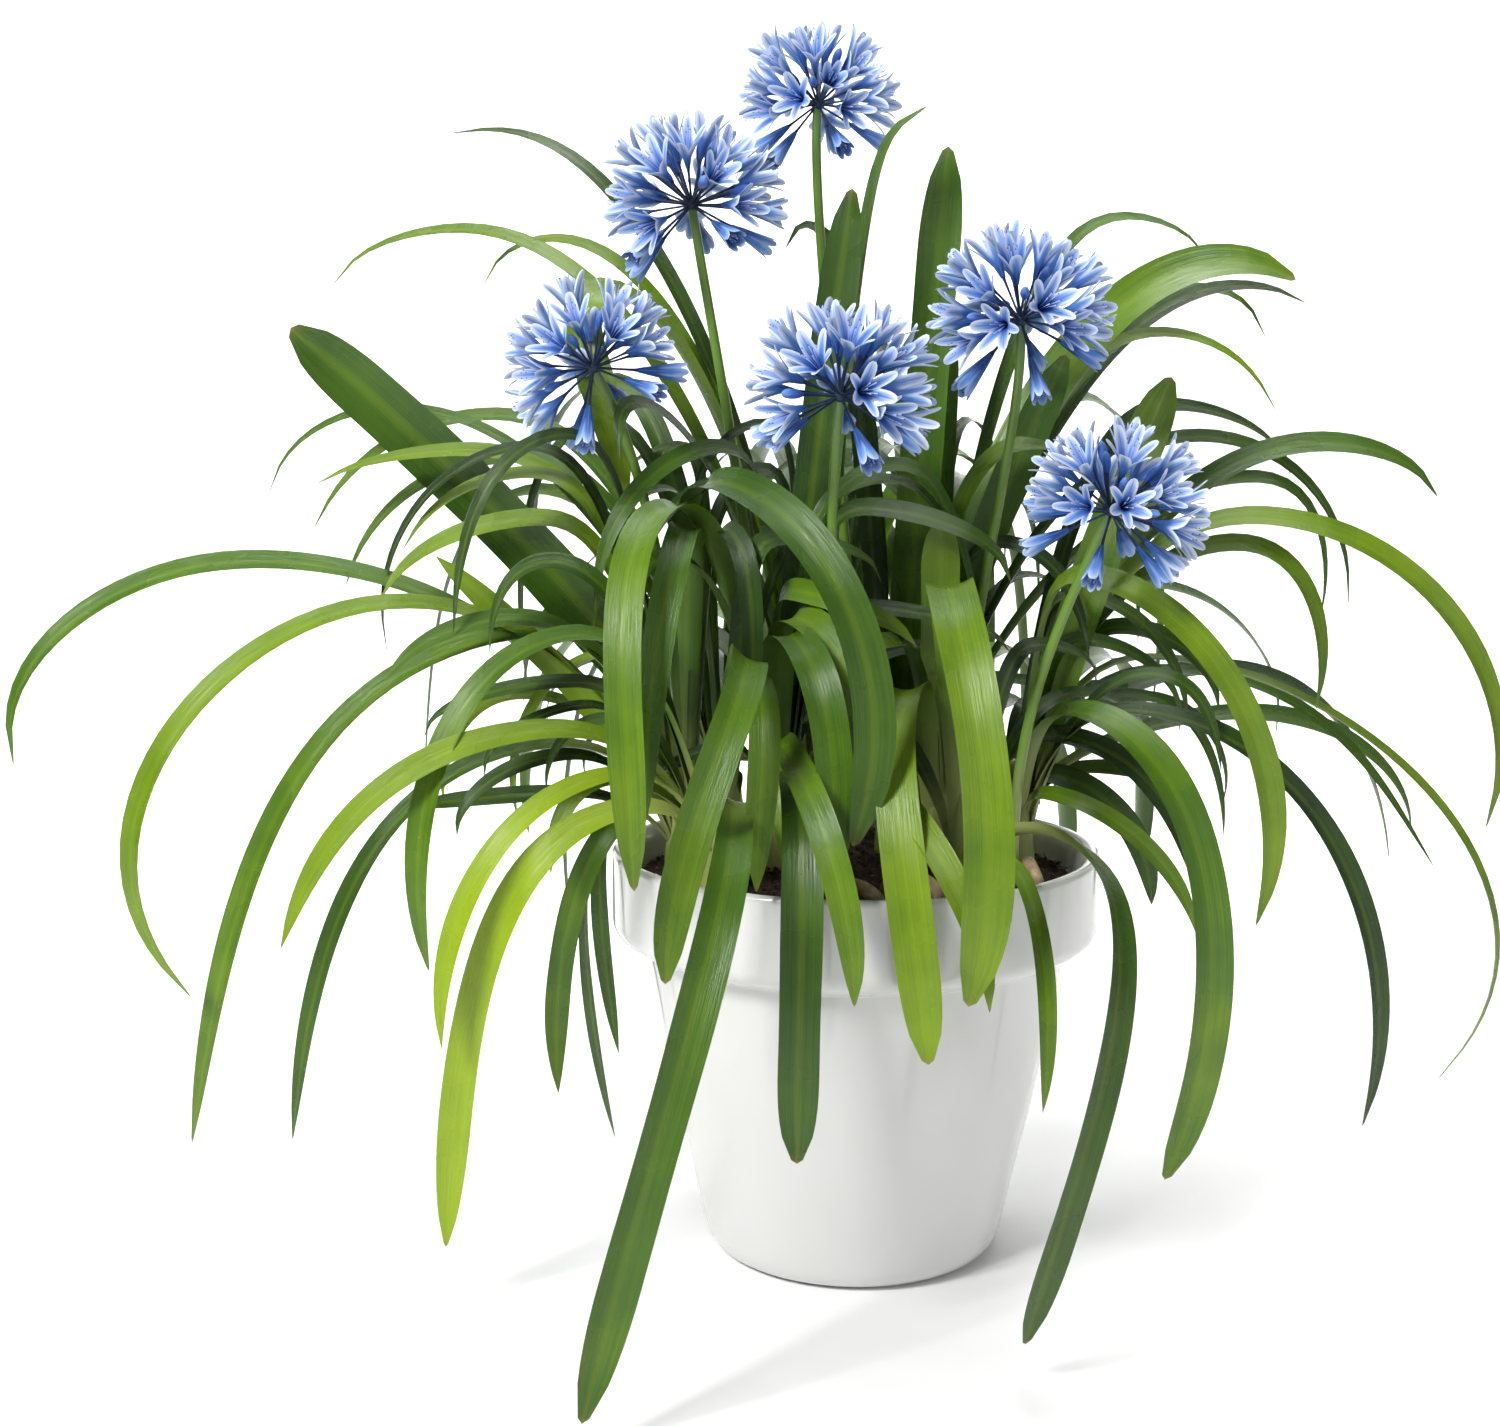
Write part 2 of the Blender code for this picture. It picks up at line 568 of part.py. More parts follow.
def make_roots(parts):
    """Thick roots that arch over the soil."""
    for number, (start, end, height) in enumerate(ROOTS, 1):
        a, b = Vector((*start, 0.0)), Vector((*end, 0.0))
        bow = (b - a).cross(UP).normalized() * 0.5
        line = [Vector((*start, ROOT_FLOOR + 0.05))]
        for i in range(9):
            angle = math.pi * i / 8
            flat = a.lerp(b, (1 - math.cos(angle)) / 2) + bow * math.sin(angle) ** 2
            line.append(flat + UP * (ROOT_RISE + height * math.sin(angle)))
        line.append(Vector((*end, ROOT_FLOOR + 0.05)))
        root = tube(f"root_{number}", [p * CM for p in line], ROOT_RADIUS, parts, 1)
        root.data.materials.append(material(root.name, (0.52, 0.42, 0.28), 0.7))


def make_crowns(parts, settled):
    """Each crown: a short stem in its hole with its leaves fused to it."""
    for crown, (x, y) in CROWNS.items():
        stem = freeze(lathe(f"crown_{crown}", CROWN_PROFILE, CROWN_STEPS, parts, (x, y)))
        stem.data.materials.append(material(stem.name, (0.10, 0.24, 0.035), 0.38, 0.1))
        fan = new_collection(f"fan_{crown}")
        for owner, foot, apex, tip, swing, bow, width in settled:
            if owner == crown:
                mesh_object("leaf", *blade(foot, apex, tip, swing, bow, width), fan)
        unite(stem, fan)


def floret(centre, direction, spin, reach, length, mouth):
    """Points and faces of one trumpet on its stalk, with six spread tips."""
    across = direction.orthogonal().normalized()
    across.rotate(Matrix.Rotation(spin, 3, direction))
    other = direction.cross(across)

    def ring(count, radius, along, shift=0.0):
        return [centre + direction * along + (across * math.cos(math.tau * (k + shift) / count)
                + other * math.sin(math.tau * (k + shift) / count)) * radius for k in range(count)]

    points = ring(3, 0.9 * MM, 3.5 * MM) + ring(3, 1.1 * MM, reach)
    points += ring(6, 3.4 * MM, reach + 0.38 * length)
    tips = ring(6, mouth, reach + length)
    notches = ring(6, 0.5 * mouth, reach + 0.74 * length, 0.5)
    points += [point for pair in zip(tips, notches) for point in pair]
    points.append(centre + direction * (reach + 0.56 * length))
    faces = [(0, 2, 1)]
    for k in range(3):
        n = (k + 1) % 3
        faces += [(k, n, 3 + n), (k, 3 + n, 3 + k)]
        faces += [(3 + k, 6 + 2 * k + 1, 6 + 2 * k), (3 + k, 3 + n, 6 + 2 * k + 1),
                  (3 + n, 6 + (2 * k + 2) % 6, 6 + 2 * k + 1)]
    for k in range(6):
        n = (k + 1) % 6
        tip, notch, following = 12 + 2 * k, 13 + 2 * k, 12 + 2 * n
        faces += [(6 + k, notch, tip), (6 + k, 6 + n, notch), (6 + n, following, notch)]
        faces += [(tip, notch, 24), (notch, following, 24)]
    return points, faces


def bud(centre, direction, reach, length, radius):
    """Points and faces of a closed bud or spent flower on its stalk."""
    across = direction.orthogonal().normalized()
    other = direction.cross(across)
    points = []
    for along, wide in ((3.5 * MM, 0.8 * MM), (reach, 0.9 * MM), (reach + 0.6 * length, radius)):
        points += [centre + direction * along + (across * math.cos(math.tau * k / 3)
                   + other * math.sin(math.tau * k / 3)) * wide for k in range(3)]
    points.append(centre + direction * (reach + length))
    faces = [(0, 2, 1)]
    for base in (0, 3):
        for k in range(3):
            n = (k + 1) % 3
            faces += [(base + k, base + n, base + 3 + n), (base + k, base + 3 + n, base + 3 + k)]
    faces += [(6, 7, 9), (7, 8, 9), (8, 6, 9)]
    return points, faces


def head_directions(head, seed):
    """Directions of the open florets, the buds and the drooping flowers of one head."""
    draw = random.Random(seed)
    axis = head_axis(head)
    side = axis.orthogonal().normalized()
    other = axis.cross(side)

    def aim(polar, around):
        return (axis * math.cos(polar) + (side * math.cos(around) + other * math.sin(around))
                * math.sin(polar)).normalized()

    start = draw.uniform(0, math.tau)
    rows = []
    for i in range(FLORETS):
        height = 1.0 - (i + 0.5) / FLORETS * (1.0 - math.cos(math.radians(DOME_ANGLE)))
        around = start + i * GOLDEN_TURN
        rows.append(("floret", aim(math.acos(height), around), draw.uniform(0, math.tau)))
    for i in range(BUDS):
        rows.append(("bud", aim(draw.uniform(0.3, 1.2), start + 2.1 * i + 0.9), 0.0))
    for i in range(DROOPING):
        rows.append(("drooping", aim(math.radians(draw.uniform(122, 140)), start + 2.1 * i), 0.0))
    return rows


def make_heads(parts, placed):
    """Flower stems, and the heads on them: a knob with trumpets, buds and drooping flowers."""
    stems = [tree for owner, tree in placed if owner != "stem"]
    for number, head in enumerate(HEADS, 1):
        scape = tube(f"scape_{number}", scape_line(head), SCAPE_RADIUS, parts, 1)
        scape.data.materials.append(material(scape.name, (0.16, 0.30, 0.07), 0.4, 0.1))
        centre = Vector(head[0]) * CM
        radius = head[3] * CM
        turn = head_axis(head).to_track_quat("Z", "Y").to_matrix().to_4x4()
        work = bmesh.new()
        bmesh.ops.create_icosphere(work, subdivisions=1, radius=KNOB_RADIUS)
        for vertex in work.verts:
            vertex.co.z = max(vertex.co.z, -0.96 * KNOB_RADIUS)
        mesh = bpy.data.meshes.new("knob")
        work.to_mesh(mesh)
        work.free()
        mesh.transform(Matrix.Translation(centre) @ turn)
        knob = link(f"umbel_{number}", mesh, parts)
        mesh.materials.append(material(knob.name, (0.20, 0.34, 0.72), 0.45))
        spray = new_collection(f"spray_{number}")
        for kind, aim, spin in head_directions(head, 40 + number):
            if kind == "floret":
                shape = floret(centre, aim, spin, *(share * radius for share in OPEN_SHARES))
            elif kind == "bud":
                shape = bud(centre, aim, *(share * radius for share in BUD_SHARES), BUD_RADIUS)
            else:
                shape = bud(centre, aim, *(share * radius for share in SPENT_SHARES), SPENT_RADIUS)
            tree = tree_of(*shape)
            if any(tree.overlap(other) for other in stems):
                print("left out a", kind, "of head", number)
                continue
            mesh_object(kind, *shape, spray)
        made = unite(knob, spray)
        stems.append(tree_of([v.co for v in made.data.vertices],
                             [tuple(p.vertices) for p in made.data.polygons]))


def main():
    """Build every piece of the plant in its pot."""
    clear_scene()
    parts = new_collection("agapanthus")
    cutters = new_collection("cutters")
    make_pot(parts)
    make_soil(parts, cutters)
    make_roots(parts)
    settled, placed = settle_leaves()
    make_crowns(parts, settled)
    make_heads(parts, placed)
    for obj in parts.objects:
        obj.data.shade_smooth()
        obj.data.set_sharp_from_angle(angle=math.radians(40))
    print("leaves", len(settled))


main()
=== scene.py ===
# %% [markdown]
# # A potted agapanthus
# An agapanthus is a clump of fans. Each fan is a short false stem of clasping leaf bases, from which
# long strap leaves arch over. Bare stems carry round heads of blue trumpets above the leaves. The
# solids of the plant are already measured and packed. Here each of them gets its finished shape
# and surface, in the place where the solid stands.

# %% Load the measured solids
import json
import math
import random

import bmesh
import bpy
from mathutils import Matrix, Vector, noise
from mathutils.bvhtree import BVHTree
from mathutils.kdtree import KDTree

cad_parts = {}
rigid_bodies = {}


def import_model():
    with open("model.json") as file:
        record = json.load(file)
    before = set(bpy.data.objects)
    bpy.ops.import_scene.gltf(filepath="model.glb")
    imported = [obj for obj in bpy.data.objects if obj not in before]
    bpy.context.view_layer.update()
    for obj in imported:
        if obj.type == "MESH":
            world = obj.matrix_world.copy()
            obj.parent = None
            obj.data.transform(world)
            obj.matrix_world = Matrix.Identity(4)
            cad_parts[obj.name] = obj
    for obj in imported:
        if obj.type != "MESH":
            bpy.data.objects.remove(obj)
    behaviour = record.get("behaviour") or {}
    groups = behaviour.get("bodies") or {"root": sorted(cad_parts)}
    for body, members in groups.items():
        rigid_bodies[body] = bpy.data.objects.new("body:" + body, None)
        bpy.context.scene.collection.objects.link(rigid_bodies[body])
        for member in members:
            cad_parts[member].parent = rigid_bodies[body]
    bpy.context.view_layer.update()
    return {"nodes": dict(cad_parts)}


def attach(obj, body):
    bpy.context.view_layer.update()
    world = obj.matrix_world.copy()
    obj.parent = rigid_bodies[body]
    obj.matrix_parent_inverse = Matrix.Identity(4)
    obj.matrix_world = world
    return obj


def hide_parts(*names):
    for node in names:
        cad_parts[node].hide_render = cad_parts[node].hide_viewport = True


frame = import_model()
CM = 0.01
MM = 0.001
UP = Vector((0.0, 0.0, 1.0))

# %% [markdown]
# ## Camera
# The photograph looks slightly down on the plant from about 1.4 m away. The lens could be guessed by
# eye. But the pot's size is known, and how wide and how round its rim and its foot show fixes the
# distance, the tilt and the lens together, so the values below come from the pot.

# %% Camera
CAMERA_PLACE = Vector((-0.074, -1.41, 0.592))
CAMERA_DOWN = 8.45
CAMERA_LENS = 48.9


def make_camera():
    """The photograph's viewpoint."""
    data = bpy.data.cameras.new("camera")
    data.sensor_width = 36.0
    data.lens = CAMERA_LENS
    made = bpy.data.objects.new("camera", data)
    made.location = CAMERA_PLACE
    made.rotation_euler = (math.radians(90.0 - CAMERA_DOWN), 0.0, 0.0)
    bpy.context.scene.collection.objects.link(made)
    bpy.context.scene.camera = made


make_camera()

# %% [markdown]
# ## Shader maths
# A surface is easier to read as an expression than as a list of nodes. `Value` wraps one socket
# of a node tree and turns `+`, `*` and the rest into Math nodes. `Paint` makes a material, and
# its `node` method adds any other node.

# %% Shader helpers


class Value:
    """A number that changes over the surface: one socket of a node tree."""

    def __init__(self, paint, socket):
        self.paint = paint
        self.socket = socket

    def math(self, operation, *others):
        """A Math node on this value and others."""
        made = self.paint.tree.nodes.new("ShaderNodeMath")
        made.operation = operation
        for slot, value in zip(made.inputs, (self, *others)):
            self.paint.feed(slot, value)
        return Value(self.paint, made.outputs[0])

    def __add__(self, other):
        return self.math("ADD", other)

    def __radd__(self, other):
        return self.math("ADD", other)

    def __sub__(self, other):
        return self.math("SUBTRACT", other)

    def __rsub__(self, other):
        return self.math("MULTIPLY_ADD", -1.0, other)

    def __mul__(self, other):
        return self.math("MULTIPLY", other)

    def __rmul__(self, other):
        return self.math("MULTIPLY", other)

    def size(self):
        """The value without its sign."""
        return self.math("ABSOLUTE")

    def step(self, start, end):
        """A smooth step from 0 at start to 1 at end."""
        made = self.paint.node("MapRange", {"interpolation_type": "SMOOTHSTEP"},
                               {"Value": self, "From Min": start, "From Max": end})
        return Value(self.paint, made.outputs["Result"])


class Paint:
    """A Principled material and the nodes that feed it."""

    def __init__(self, name, roughness, **constants):
        self.material = bpy.data.materials.new(name)
        self.material.use_nodes = True
        self.tree = self.material.node_tree
        self.shader = self.tree.nodes["Principled BSDF"]
        self.shader.inputs["Roughness"].default_value = roughness
        for socket, value in constants.items():
            self.shader.inputs[socket.replace("_", " ")].default_value = value

    def feed(self, slot, value):
        """Link a value or a socket, or set a constant."""
        if isinstance(value, Value):
            self.tree.links.new(value.socket, slot)
        elif isinstance(value, bpy.types.NodeSocket):
            self.tree.links.new(value, slot)
        elif isinstance(value, tuple) and slot.type == "RGBA":
            slot.default_value = (*value[:3], 1.0)
        else:
            slot.default_value = value

    def node(self, kind, settings=None, inputs=None):
        """Any shader node: its settings first, then its sockets by name."""
        made = self.tree.nodes.new("ShaderNode" + kind)
        for key, value in (settings or {}).items():
            setattr(made, key, value)
        for key, value in (inputs or {}).items():
            self.feed(made.inputs[key], value)
        return made

    def mark(self, name):
        """A number stored on the mesh's points."""
        return Value(self, self.node("Attribute", {"attribute_name": name}).outputs["Fac"])

    def place(self):
        """The point's place on the object."""
        return self.node("TexCoord").outputs["Object"]

    def parts(self, vector):
        """The three numbers of a vector."""
        made = self.node("SeparateXYZ", inputs={"Vector": vector})
        return [Value(self, socket) for socket in made.outputs]

    def stretched(self, vector, scale):
        """A vector times a scale for each axis."""
        made = self.node("VectorMath", {"operation": "MULTIPLY"}, {0: vector, 1: scale})
        return made.outputs["Vector"]

    def noise(self, vector, scale, detail=2.0, roughness=0.5):
        """Smooth noise between 0 and 1."""
        made = self.node("TexNoise", None, {"Vector": vector, "Scale": scale, "Detail": detail,
                                            "Roughness": roughness})
        return Value(self, made.outputs["Fac"])

    def ramp(self, value, stops):
        """Colours by value."""
        made = self.node("ValToRGB", inputs={"Fac": value})
        band = made.color_ramp
        while len(band.elements) < len(stops):
            band.elements.new(0.5)
        for element, (position, color) in zip(band.elements, stops):
            element.position = position
            element.color = (*color, 1.0)
        return made.outputs["Color"]

    def blend(self, factor, low, high):
        """One colour over another."""
        made = self.node("Mix", {"data_type": "RGBA", "clamp_factor": True})
        self.feed(made.inputs[0], factor)
        self.feed(made.inputs[6], low)
        self.feed(made.inputs[7], high)
        return made.outputs[2]

    def color(self, value):
        """Set the base colour."""
        self.feed(self.shader.inputs["Base Color"], value)

    def rough(self, value):
        """Set a roughness that changes over the surface."""
        self.feed(self.shader.inputs["Roughness"], value)

    def bump(self, height, distance, strength=1.0):
        """Raise the surface by a height between 0 and 1."""
        made = self.node("Bump", None, {"Height": height, "Distance": distance,
                                        "Strength": strength})
        self.feed(self.shader.inputs["Normal"], made.outputs["Normal"])


# %% [markdown]
# ## Floor and light
# A studio has a paper sweep and soft boxes. A flat floor would show its far edge as a line, and a
# bright world alone would leave the plant without form. So a white sheet bends up behind the pot,
# and area lamps stand round it. Their size gives the soft long highlights on leaves and glaze.

# %% Floor and lamps
SHEET_WIDTH = 9.0
SHEET_FRONT = -3.2
SHEET_BACK = 2.6
SHEET_BEND = 1.1
SHEET_TOP = 4.2


def make_sheet():
    """A white floor that bends up into a backdrop."""
    profile = [(SHEET_FRONT, 0.0)]
    for i in range(17):
        angle = math.pi / 2 * i / 16
        profile.append((SHEET_BACK + SHEET_BEND * math.sin(angle), SHEET_BEND * (1 - math.cos(angle))))
    profile.append((SHEET_BACK + SHEET_BEND, SHEET_TOP))
    points = [(side * SHEET_WIDTH / 2, y, z) for y, z in profile for side in (-1, 1)]
    faces = [(2 * i, 2 * i + 1, 2 * i + 3, 2 * i + 2) for i in range(len(profile) - 1)]
    mesh = bpy.data.meshes.new("sheet")
    mesh.from_pydata(points, [], faces)
    mesh.shade_smooth()
    sheet = bpy.data.objects.new("sheet", mesh)
    bpy.context.scene.collection.objects.link(sheet)
    white = Paint("sheet_white", 0.85)
    white.color((0.93, 0.93, 0.93))
    mesh.materials.append(white.material)


PLANT_MIDDLE = (0.0, 0.0, 0.45)
SHEET_MIDDLE = (0.0, 3.6, 0.9)

# Each lamp's place, target, width, height and power in watts
LAMPS = {
    "key": ((-1.5, -1.7, 2.1), PLANT_MIDDLE, 0.7, 0.7, 86.0),
    "fill": ((2.2, -1.9, 1.0), PLANT_MIDDLE, 1.2, 1.6, 12.0),
    "top": ((0.3, 0.6, 2.6), PLANT_MIDDLE, 1.0, 0.8, 36.0),
    "back": ((0.0, 1.5, 2.6), SHEET_MIDDLE, 3.4, 0.6, 150.0)}
ROOM_LIGHT = 0.23


def make_lamp(name, place, target, width, height, power):
    """A wide lamp that faces its target."""
    data = bpy.data.lights.new(name, "AREA")
    data.shape = "RECTANGLE"
    data.size = width
    data.size_y = height
    data.energy = power
    made = bpy.data.objects.new(name, data)
    made.location = place
    aim = Vector(target) - Vector(place)
    made.rotation_euler = aim.to_track_quat("-Z", "Y").to_euler()
    bpy.context.scene.collection.objects.link(made)


def make_light():
    """Soft studio light from the lamps and from a pale room."""
    for name, lamp in LAMPS.items():
        make_lamp(name, *lamp)
    world = bpy.data.worlds.new("room")
    world.use_nodes = True
    background = world.node_tree.nodes["Background"]
    background.inputs["Color"].default_value = (1.0, 1.0, 1.0, 1.0)
    background.inputs["Strength"].default_value = ROOM_LIGHT
    bpy.context.scene.world = world
    bpy.context.scene.view_settings.view_transform = "Standard"
    print("lamps", len(LAMPS))


make_sheet()
make_light()

# %% [markdown]
# ## Mesh helpers
# Leaves and petals are ribbons and stalks are tubes, so two functions make nearly every face here.
# Curve objects with a bevel could make them too. But a curve keeps one section all the way, while
# a leaf's section opens and thins towards its tip. `Body` gathers the points of many ribbons, with
# the marks that the materials read, such as a tone that differs from leaf to leaf and is partly painted
# light.

# %% Ribbons and tubes


class Body:
    """Points, faces and marks of one piece."""

    def __init__(self, *marks):
        self.points = []
        self.faces = []
        self.uv = []
        self.marks = {name: [] for name in marks}

    def add(self, point, u, v, **marks):
        """One point with its place across and along, and its marks."""
        self.points.append(point)
        self.uv.append((u, v))
        for name, values in self.marks.items():
            values.append(marks.get(name, 0.0))
        return len(self.points) - 1

    def ring(self, count, place, v=0.0, **marks):
        """A closed ring of points, each placed by a function of its angle."""
        return [self.add(place(math.tau * k / count), k / count, v, **marks) for k in range(count)]

    def join_rings(self, rings, closed_start=True, closed_end=True):
        """Faces between rings of point numbers, with flat ends."""
        count = len(rings[0])
        for near, far in zip(rings, rings[1:]):
            for k in range(count):
                n = (k + 1) % count
                self.faces.append((near[k], near[n], far[n], far[k]))
        if closed_start:
            self.faces.append(tuple(reversed(rings[0])))
        if closed_end:
            self.faces.append(tuple(rings[-1]))

    def cap(self, ring, point, v=0.0, **marks):
        """Faces from a ring to one point."""
        middle = self.add(point, 0.5, v, **marks)
        for k in range(len(ring)):
            self.faces.append((ring[k], ring[(k + 1) % len(ring)], middle))

    def mesh(self, name, material, sharp=50.0):
        """A smooth mesh that faces outwards."""
        made = bpy.data.meshes.new(name)
        made.from_pydata([tuple(p) for p in self.points], [], self.faces)
        work = bmesh.new()
        work.from_mesh(made)
        bmesh.ops.recalc_face_normals(work, faces=work.faces)
        work.to_mesh(made)
        work.free()
        layer = made.uv_layers.new(name="across_along")
        corners = [0] * len(made.loops)
        made.loops.foreach_get("vertex_index", corners)
        layer.data.foreach_set("uv", [value for v in corners for value in self.uv[v]])
        for mark, values in self.marks.items():
            made.attributes.new(mark, "FLOAT", "POINT").data.foreach_set("value", values)
        made.materials.append(material)
        made.shade_smooth()
        made.set_sharp_from_angle(angle=math.radians(sharp))
        return made


def around(angle, radius, height, x=0.0, y=0.0):
    """A point on a level circle about an upright axis."""
    return Vector((x + radius * math.cos(angle), y + radius * math.sin(angle), height))


def ribbon(body, line, sides, halves, dips, thick, across, marks, lengths):
    """A thin closed strap: at each point a curved section with a thicker middle."""
    rings = []
    last = len(line) - 1
    for i in range(last):
        ahead = (line[i + 1] - line[max(i - 1, 0)]).normalized()
        above = sides[i].cross(ahead).normalized()
        top, under = [], []
        for k in range(across + 1):
            u = 2.0 * k / across - 1.0
            lift = dips[i] * (abs(u) ** 1.7 - 0.5)
            middle = line[i] + sides[i] * (halves[i] * u) + above * lift
            half_thick = 0.5 * thick[i] * (1.0 - 0.75 * u * u)
            top.append(body.add(middle + above * half_thick, k / across, lengths[i],
                                under=0.0, along=i / last, **marks))
            if 0 < k < across:
                under.append(body.add(middle - above * half_thick, k / across, lengths[i],
                                      under=1.0, along=i / last, **marks))
        rings.append(top + list(reversed(under)))
    body.join_rings(rings, closed_end=False)
    body.cap(rings[-1], line[-1], lengths[-1], along=1.0, **marks)


def tube(body, line, radii, sides, marks=None, flat=1.0):
    """A rod along a line, with a radius at each point."""
    marks = marks or {}
    last = len(line) - 1
    ahead = (line[1] - line[0]).normalized()
    across = ahead.orthogonal().normalized()
    rings = []
    for i, centre in enumerate(line):
        ahead = (line[min(i + 1, last)] - line[max(i - 1, 0)]).normalized()
        across = (across - ahead * across.dot(ahead)).normalized()
        other = ahead.cross(across) * flat
        rings.append(body.ring(
            sides, lambda turn: centre + (across * math.cos(turn) + other * math.sin(turn)) * radii[i],
            i / last, along=i / last, **marks))
    body.join_rings(rings)


def show(name, mesh, slot, *nodes):
    """A finished piece in place of its solids."""
    made = bpy.data.objects.new(name, mesh)
    bpy.context.scene.collection.objects.link(made)
    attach(made, "root")
    if nodes:
        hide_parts(*nodes)
    return made


# %% [markdown]
# ## The pot
# A glazed flowerpot is turned, so one outline swept round the axis makes it. A Screw modifier would
# do the same, but a bevel after it rounds every corner alike. Here each corner of the solid's
# outline is cut back by its own length and rounded, as glaze rounds clay.

# %% Pot
POT_CORNERS = (
    (0.0, 1.2, 0.0), (8.3, 1.2, 0.8), (9.5, 2.6, 1.2), (13.9, 20.8, 1.6), (15.2, 22.8, 1.6),
    (15.95, 28.2, 0.5), (16.35, 28.9, 0.35), (17.1, 28.85, 0.42), (17.1, 23.2, 0.75),
    (15.6, 22.35, 0.45), (14.95, 22.15, 0.12), (13.5, 14.2, 3.0), (11.7, 6.3, 3.0),
    (10.35, 0.0, 1.7), (0.0, 0.0, 0.0))
POT_AROUND = 180
ARC_POINTS = 7
LONGEST_CUT = 0.48
GLAZE_SHADE = (0.60, 0.60, 0.585)
GLAZE_LIGHT = (0.67, 0.67, 0.66)


def rounded(corners):
    """The outline with each corner cut back and joined by an arc-like curve."""
    outline = []
    for i, (radius, height, cut) in enumerate(corners):
        here = Vector((radius, height))
        if cut == 0.0:
            outline.append(here)
            continue
        before = Vector(corners[i - 1][:2]) - here
        after = Vector(corners[i + 1][:2]) - here
        start = here + before.normalized() * min(cut, LONGEST_CUT * before.length)
        end = here + after.normalized() * min(cut, LONGEST_CUT * after.length)
        for k in range(ARC_POINTS):
            t = k / (ARC_POINTS - 1)
            outline.append(start * (1 - t) ** 2 + here * (2 * t * (1 - t)) + end * t ** 2)
    return outline


def make_glaze():
    """White glaze: bright, glossy and very slightly uneven."""
    glaze = Paint("glaze", 0.12, Coat_Weight=0.35, Coat_Roughness=0.04)
    place = glaze.place()
    cloud = glaze.noise(place, 9.0, 3.0)
    specks = glaze.noise(place, 900.0, 2.0)
    glaze.color(glaze.blend(cloud, GLAZE_SHADE, GLAZE_LIGHT))
    glaze.rough(cloud * 0.10 + 0.09)
    glaze.bump(cloud + specks * 0.02, 0.0006, 0.35)
    return glaze.material


def make_pot():
    """Sweep the rounded outline round the axis."""
    outline = rounded(POT_CORNERS)
    body = Body()
    rings = [body.ring(POT_AROUND, lambda angle: around(angle, radius, height) * CM, height)
             for radius, height in outline[1:-1]]
    body.join_rings(rings, False, False)
    for ring, (_, height) in ((rings[0], outline[0]), (rings[-1], outline[-1])):
        body.cap(ring, UP * height * CM, height)
    show("glazed_pot", body.mesh("glazed_pot", make_glaze(), 80.0), "glaze", "pot")
    print("pot outline points", len(outline))


make_pot()

# %% [markdown]
# ## Soil
# The compost is dark coir: lumps, with short fibres lying every way. A plane moved by a texture
# could show it, but it would be a sheet. So rings of points, lifted by noise, stand on a flat
# foot and close into one body that fills the pot's mouth.

# %% Soil mound
SOIL_TOP = 28.0
SOIL_EDGE = 26.6
SOIL_REACH = 15.66
SOIL_LUMPS = 0.35
SOIL_AROUND = 160
SOIL_ACROSS = 60
SOIL_FOOT = 20.9
SOIL_FOOT_REACH = 13.8
LUMPS_PER_METRE = 28.0
LUMPS_REACH = 6
CRUMBS_PER_METRE = 130.0
CRUMB_RISE = 0.42
EARTH_STOPS = ((0.30, (0.007, 0.004, 0.003)), (0.5, (0.042, 0.022, 0.011)),
               (0.72, (0.150, 0.082, 0.042)))


def soil_height(x, y, fine=1.0):
    """Height in cm of the soil's surface at a place in cm."""
    share = min(1.0, math.hypot(x, y) / SOIL_REACH)
    height = SOIL_EDGE + (SOIL_TOP - SOIL_EDGE) * (1 - share ** 2)
    place = Vector((x, y, height)) * CM
    height += SOIL_LUMPS * noise.noise(place * LUMPS_PER_METRE) * min(1.0, (1 - share) * LUMPS_REACH)
    crumbs = noise.turbulence(place * CRUMBS_PER_METRE, 4, False) - 0.6
    return height + fine * CRUMB_RISE * crumbs


def soil_point(angle, radius, fine=1.0, lift=0.0):
    """A point of the soil's surface, or a little above it."""
    x, y = radius * math.cos(angle), radius * math.sin(angle)
    return Vector((x, y, soil_height(x, y, fine) + lift)) * CM


def make_earth():
    """Dark moist compost, browner on its crumbs."""
    earth = Paint("earth", 0.9)
    place = earth.place()
    lumps = earth.noise(place, 110.0, 6.0, 0.7)
    grain = earth.noise(place, 700.0, 4.0, 0.7)
    earth.color(earth.ramp(lumps * 0.6 + grain * 0.4, EARTH_STOPS))
    earth.rough(0.78 + 0.2 * grain)
    earth.bump(grain + lumps, 0.003, 0.9)
    return earth.material


EARTH = make_earth()


def make_soil():
    """The mound of soil, closed underneath."""
    body = Body()
    rings = []
    for i in range(1, SOIL_ACROSS + 1):
        reach = SOIL_REACH * i / SOIL_ACROSS
        rings.append(body.ring(SOIL_AROUND, lambda angle: soil_point(angle, reach)))
    rings.append(body.ring(SOIL_AROUND, lambda angle: around(angle, SOIL_FOOT_REACH, SOIL_FOOT) * CM))
    body.join_rings(rings, False, True)
    body.cap(rings[0], soil_point(0.0, 0.0))
    show("soil_mound", body.mesh("soil_mound", EARTH), "soil", "soil")
    print("soil points", len(body.points))


make_soil()

# %% [markdown]
# ## Scattering with Geometry Nodes
# Thousands of fibres lie on the soil. A particle system could strew them, but its particles don't
# go into an exported model, while Geometry Nodes can make each copy real. The tree below puts a
# shape on many points of a surface, turns and sizes it and gives it its material. `grown` runs
# such a tree on an object and returns a plain mesh, and the flower heads use it too.

# %% Geometry Nodes helpers


